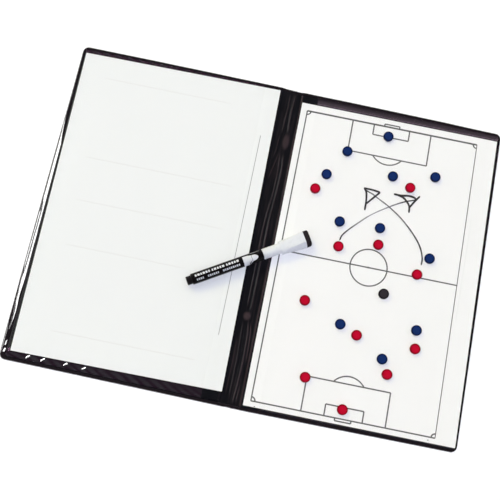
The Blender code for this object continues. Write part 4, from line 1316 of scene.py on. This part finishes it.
CAD_LOOKS = {
    "marker_ink_reservoir": INK_FIBRE,
    "left_writing_board": WRITING_BOARD,
    "right_pitch_board": PITCH_BOARD,
}


def dress_cad_nodes():
    for node, material in CAD_LOOKS.items():
        materials = frame["nodes"][node].data.materials
        materials.clear()
        materials.append(material)


# Studio

CAMERA_PLACE = (-0.00662, -0.17929, 0.75334)
CAMERA_TURN = (12.431, -2.262, 11.244)
CAMERA_LENS = 57.6
FLOOR_SIZE = 6.0
FLOOR_HEIGHT = -0.4
FLOOR_GLOW = 0.5
RING_STRENGTH = 1.1
RING_DIFFUSE_SHARE = 0.3
RING_TOP = 0.72
RING_FRONT_SHARE = 0.35
RING_BACK_SHARE = 1.65
RING_BACK = (-0.30, 0.95, 0.0)
OVERHEAD_STRENGTH = 0.03
STRIP_PLACE = (-2.80, 0.80, 2.72)
STRIP_SIZE = (1.7, 0.40)
STRIP_RADIANCE = 12.0
WHITE = (1.0, 1.0, 1.0, 1.0)
WARM_LIGHT = (1.0, 0.90, 0.27)
COOL_LIGHT = (0.81, 0.83, 1.0)
SOFT_LIGHT = (0.985, 1.0, 1.07)


def build_camera():
    data = bpy.data.cameras.new("camera")
    data.lens = CAMERA_LENS
    data.sensor_width = 36.0
    camera = new_object("camera", data)
    camera.location = CAMERA_PLACE
    camera.rotation_euler = [math.radians(a) for a in CAMERA_TURN]
    bpy.context.scene.camera = camera


def lamp(name, kind, towards_light, energy):
    """A light that shines from the direction towards_light, and its data."""
    data = bpy.data.lights.new(name, kind)
    data.energy = energy
    made = new_object(name, data)
    made.rotation_euler = Vector(towards_light).to_track_quat("Z", "Y").to_euler()
    return made, data


def sun(name, towards_light, strength, angle, colour, shades=True):
    """A sun that may be kept from casting shadows.

    A ray that meets a sun by chance still sees what stands in front of it, so that way is off where it
    casts no shadows.
    """
    made, data = lamp(name, "SUN", towards_light, strength)
    made.visible_glossy = False
    data.angle = math.radians(angle)
    data.color = colour
    data.use_shadow = shades
    data.cycles.use_multiple_importance_sampling = shades


def strip_light(name, place, size, radiance):
    """A long softbox that faces the folder. Its reflection is what shows on the welded edge."""
    made, data = lamp(name, "AREA", (place[0], 0.0, place[2]), radiance * math.pi * size[0] * size[1])
    made.location = place
    made.visible_camera = False
    data.shape = "RECTANGLE"
    data.size, data.size_y = size
    data.use_shadow = False


def build_floor():
    """A pale floor that reads white to the camera and still shows the folder's soft shadow."""
    half = FLOOR_SIZE / 2 / MM
    points = [(x * half, y * half, FLOOR_HEIGHT) for x, y in ((-1, -1), (1, -1), (1, 1), (-1, 1))]
    material = surface("studio_floor", (0.55, 0.55, 0.56), 0.9, Specular_IOR_Level=0.0, Emission_Color=WHITE)
    tree = material.node_tree
    light_path = new_node(tree, "LightPath")
    seen = light_path.outputs["Is Camera Ray"]
    for kind in ("Is Glossy Ray", "Is Transmission Ray"):
        seen = new_node(tree, "Math", seen, light_path.outputs[kind], operation="MAXIMUM").outputs[0]
    shade(material, Emission_Strength=ranged(tree, seen, 0.0, 1.0, 0.0, FLOOR_GLOW))
    mesh_object("studio_floor", points, [(0, 1, 2, 3)], material)


def build_world():
    """A ring of pale studio walls, brightest at the back and near the floor, under a dark ceiling."""
    world = bpy.data.worlds.new("studio")
    bpy.context.scene.world = world
    world.use_nodes = True
    tree = world.node_tree

    def product(a, b):
        return new_node(tree, "Math", a, b, operation="MULTIPLY").outputs[0]

    direction = new_node(tree, "TexCoord").outputs["Generated"]
    up = new_node(tree, "SeparateXYZ", direction).outputs["Z"]
    height = ranged(tree, up, 0.0, RING_TOP, RING_STRENGTH, OVERHEAD_STRENGTH)
    back = new_node(tree, "VectorMath", direction, RING_BACK, operation="DOT_PRODUCT").outputs["Value"]
    share = ranged(tree, back, -0.9, 0.9, RING_FRONT_SHARE, RING_BACK_SHARE)
    light_path = new_node(tree, "LightPath")
    soft = ranged(tree, light_path.outputs["Is Diffuse Ray"], 0.0, 1.0, 1.0, RING_DIFFUSE_SHARE)
    dimmed = product(product(height, share), soft)
    strength = ranged(tree, light_path.outputs["Is Camera Ray"], 0.0, 1.0, dimmed, 1.0)
    fill(tree, tree.nodes["Background"], {"Color": WHITE, "Strength": strength})


def build_studio():
    build_camera()
    build_floor()
    build_world()
    sun("key", (-0.58, 0.46, 0.67), 1.02, 20.0, WARM_LIGHT)
    sun("overhead_soft", (0.0, 0.0, 1.0), 1.15, 110.0, SOFT_LIGHT)
    strip_light("strip", STRIP_PLACE, STRIP_SIZE, STRIP_RADIANCE)
    sun("fill_right", (0.80, 0.25, 0.55), 0.30, 50.0, COOL_LIGHT, shades=False)
    sun("fill_front", (0.50, -0.62, 0.60), 0.15, 60.0, COOL_LIGHT, shades=False)
    sun("overhead", (0.05, -0.05, 1.0), 1.07, 130.0, COOL_LIGHT, shades=False)


def main():
    pitch_place = board_place("right_pitch_board", 0.0)
    writing_place = board_place("left_writing_board", LEFT_BOARD_TURN)
    for side, label, place in ((1, "right", pitch_place), (-1, "left", writing_place)):
        build_shell(side, label)
        pocket_film(side, label, place)
    hidden_panel(-1, "left", "stiffener", PANEL_BOTTOM, PANEL_TOP, GREYBOARD)
    hidden_panel(1, "right", "stiffener", PANEL_BOTTOM, STIFFENER_TOP, GREYBOARD)
    hidden_panel(1, "right", "steel_sheet", STEEL_BOTTOM, PANEL_TOP, STEEL)
    pitch_print(pitch_place)
    faint_prints()
    ink_strokes()
    build_counters()
    marker_barrel()
    wrapped_print(WHITE_INK, [BAND, NIB_MARK, *tick_row(*WHITE_TICKS)])
    # Tint ink: a painted highlight and the second row of ticks
    wrapped_print(TINT_INK, [PAINTED_GLEAM, *tick_row(*TINT_TICKS)])
    marker_inside()
    marker_cap()
    eraser()
    dress_cad_nodes()
    build_studio()
    bpy.context.scene.view_settings.view_transform = "Standard"


main()
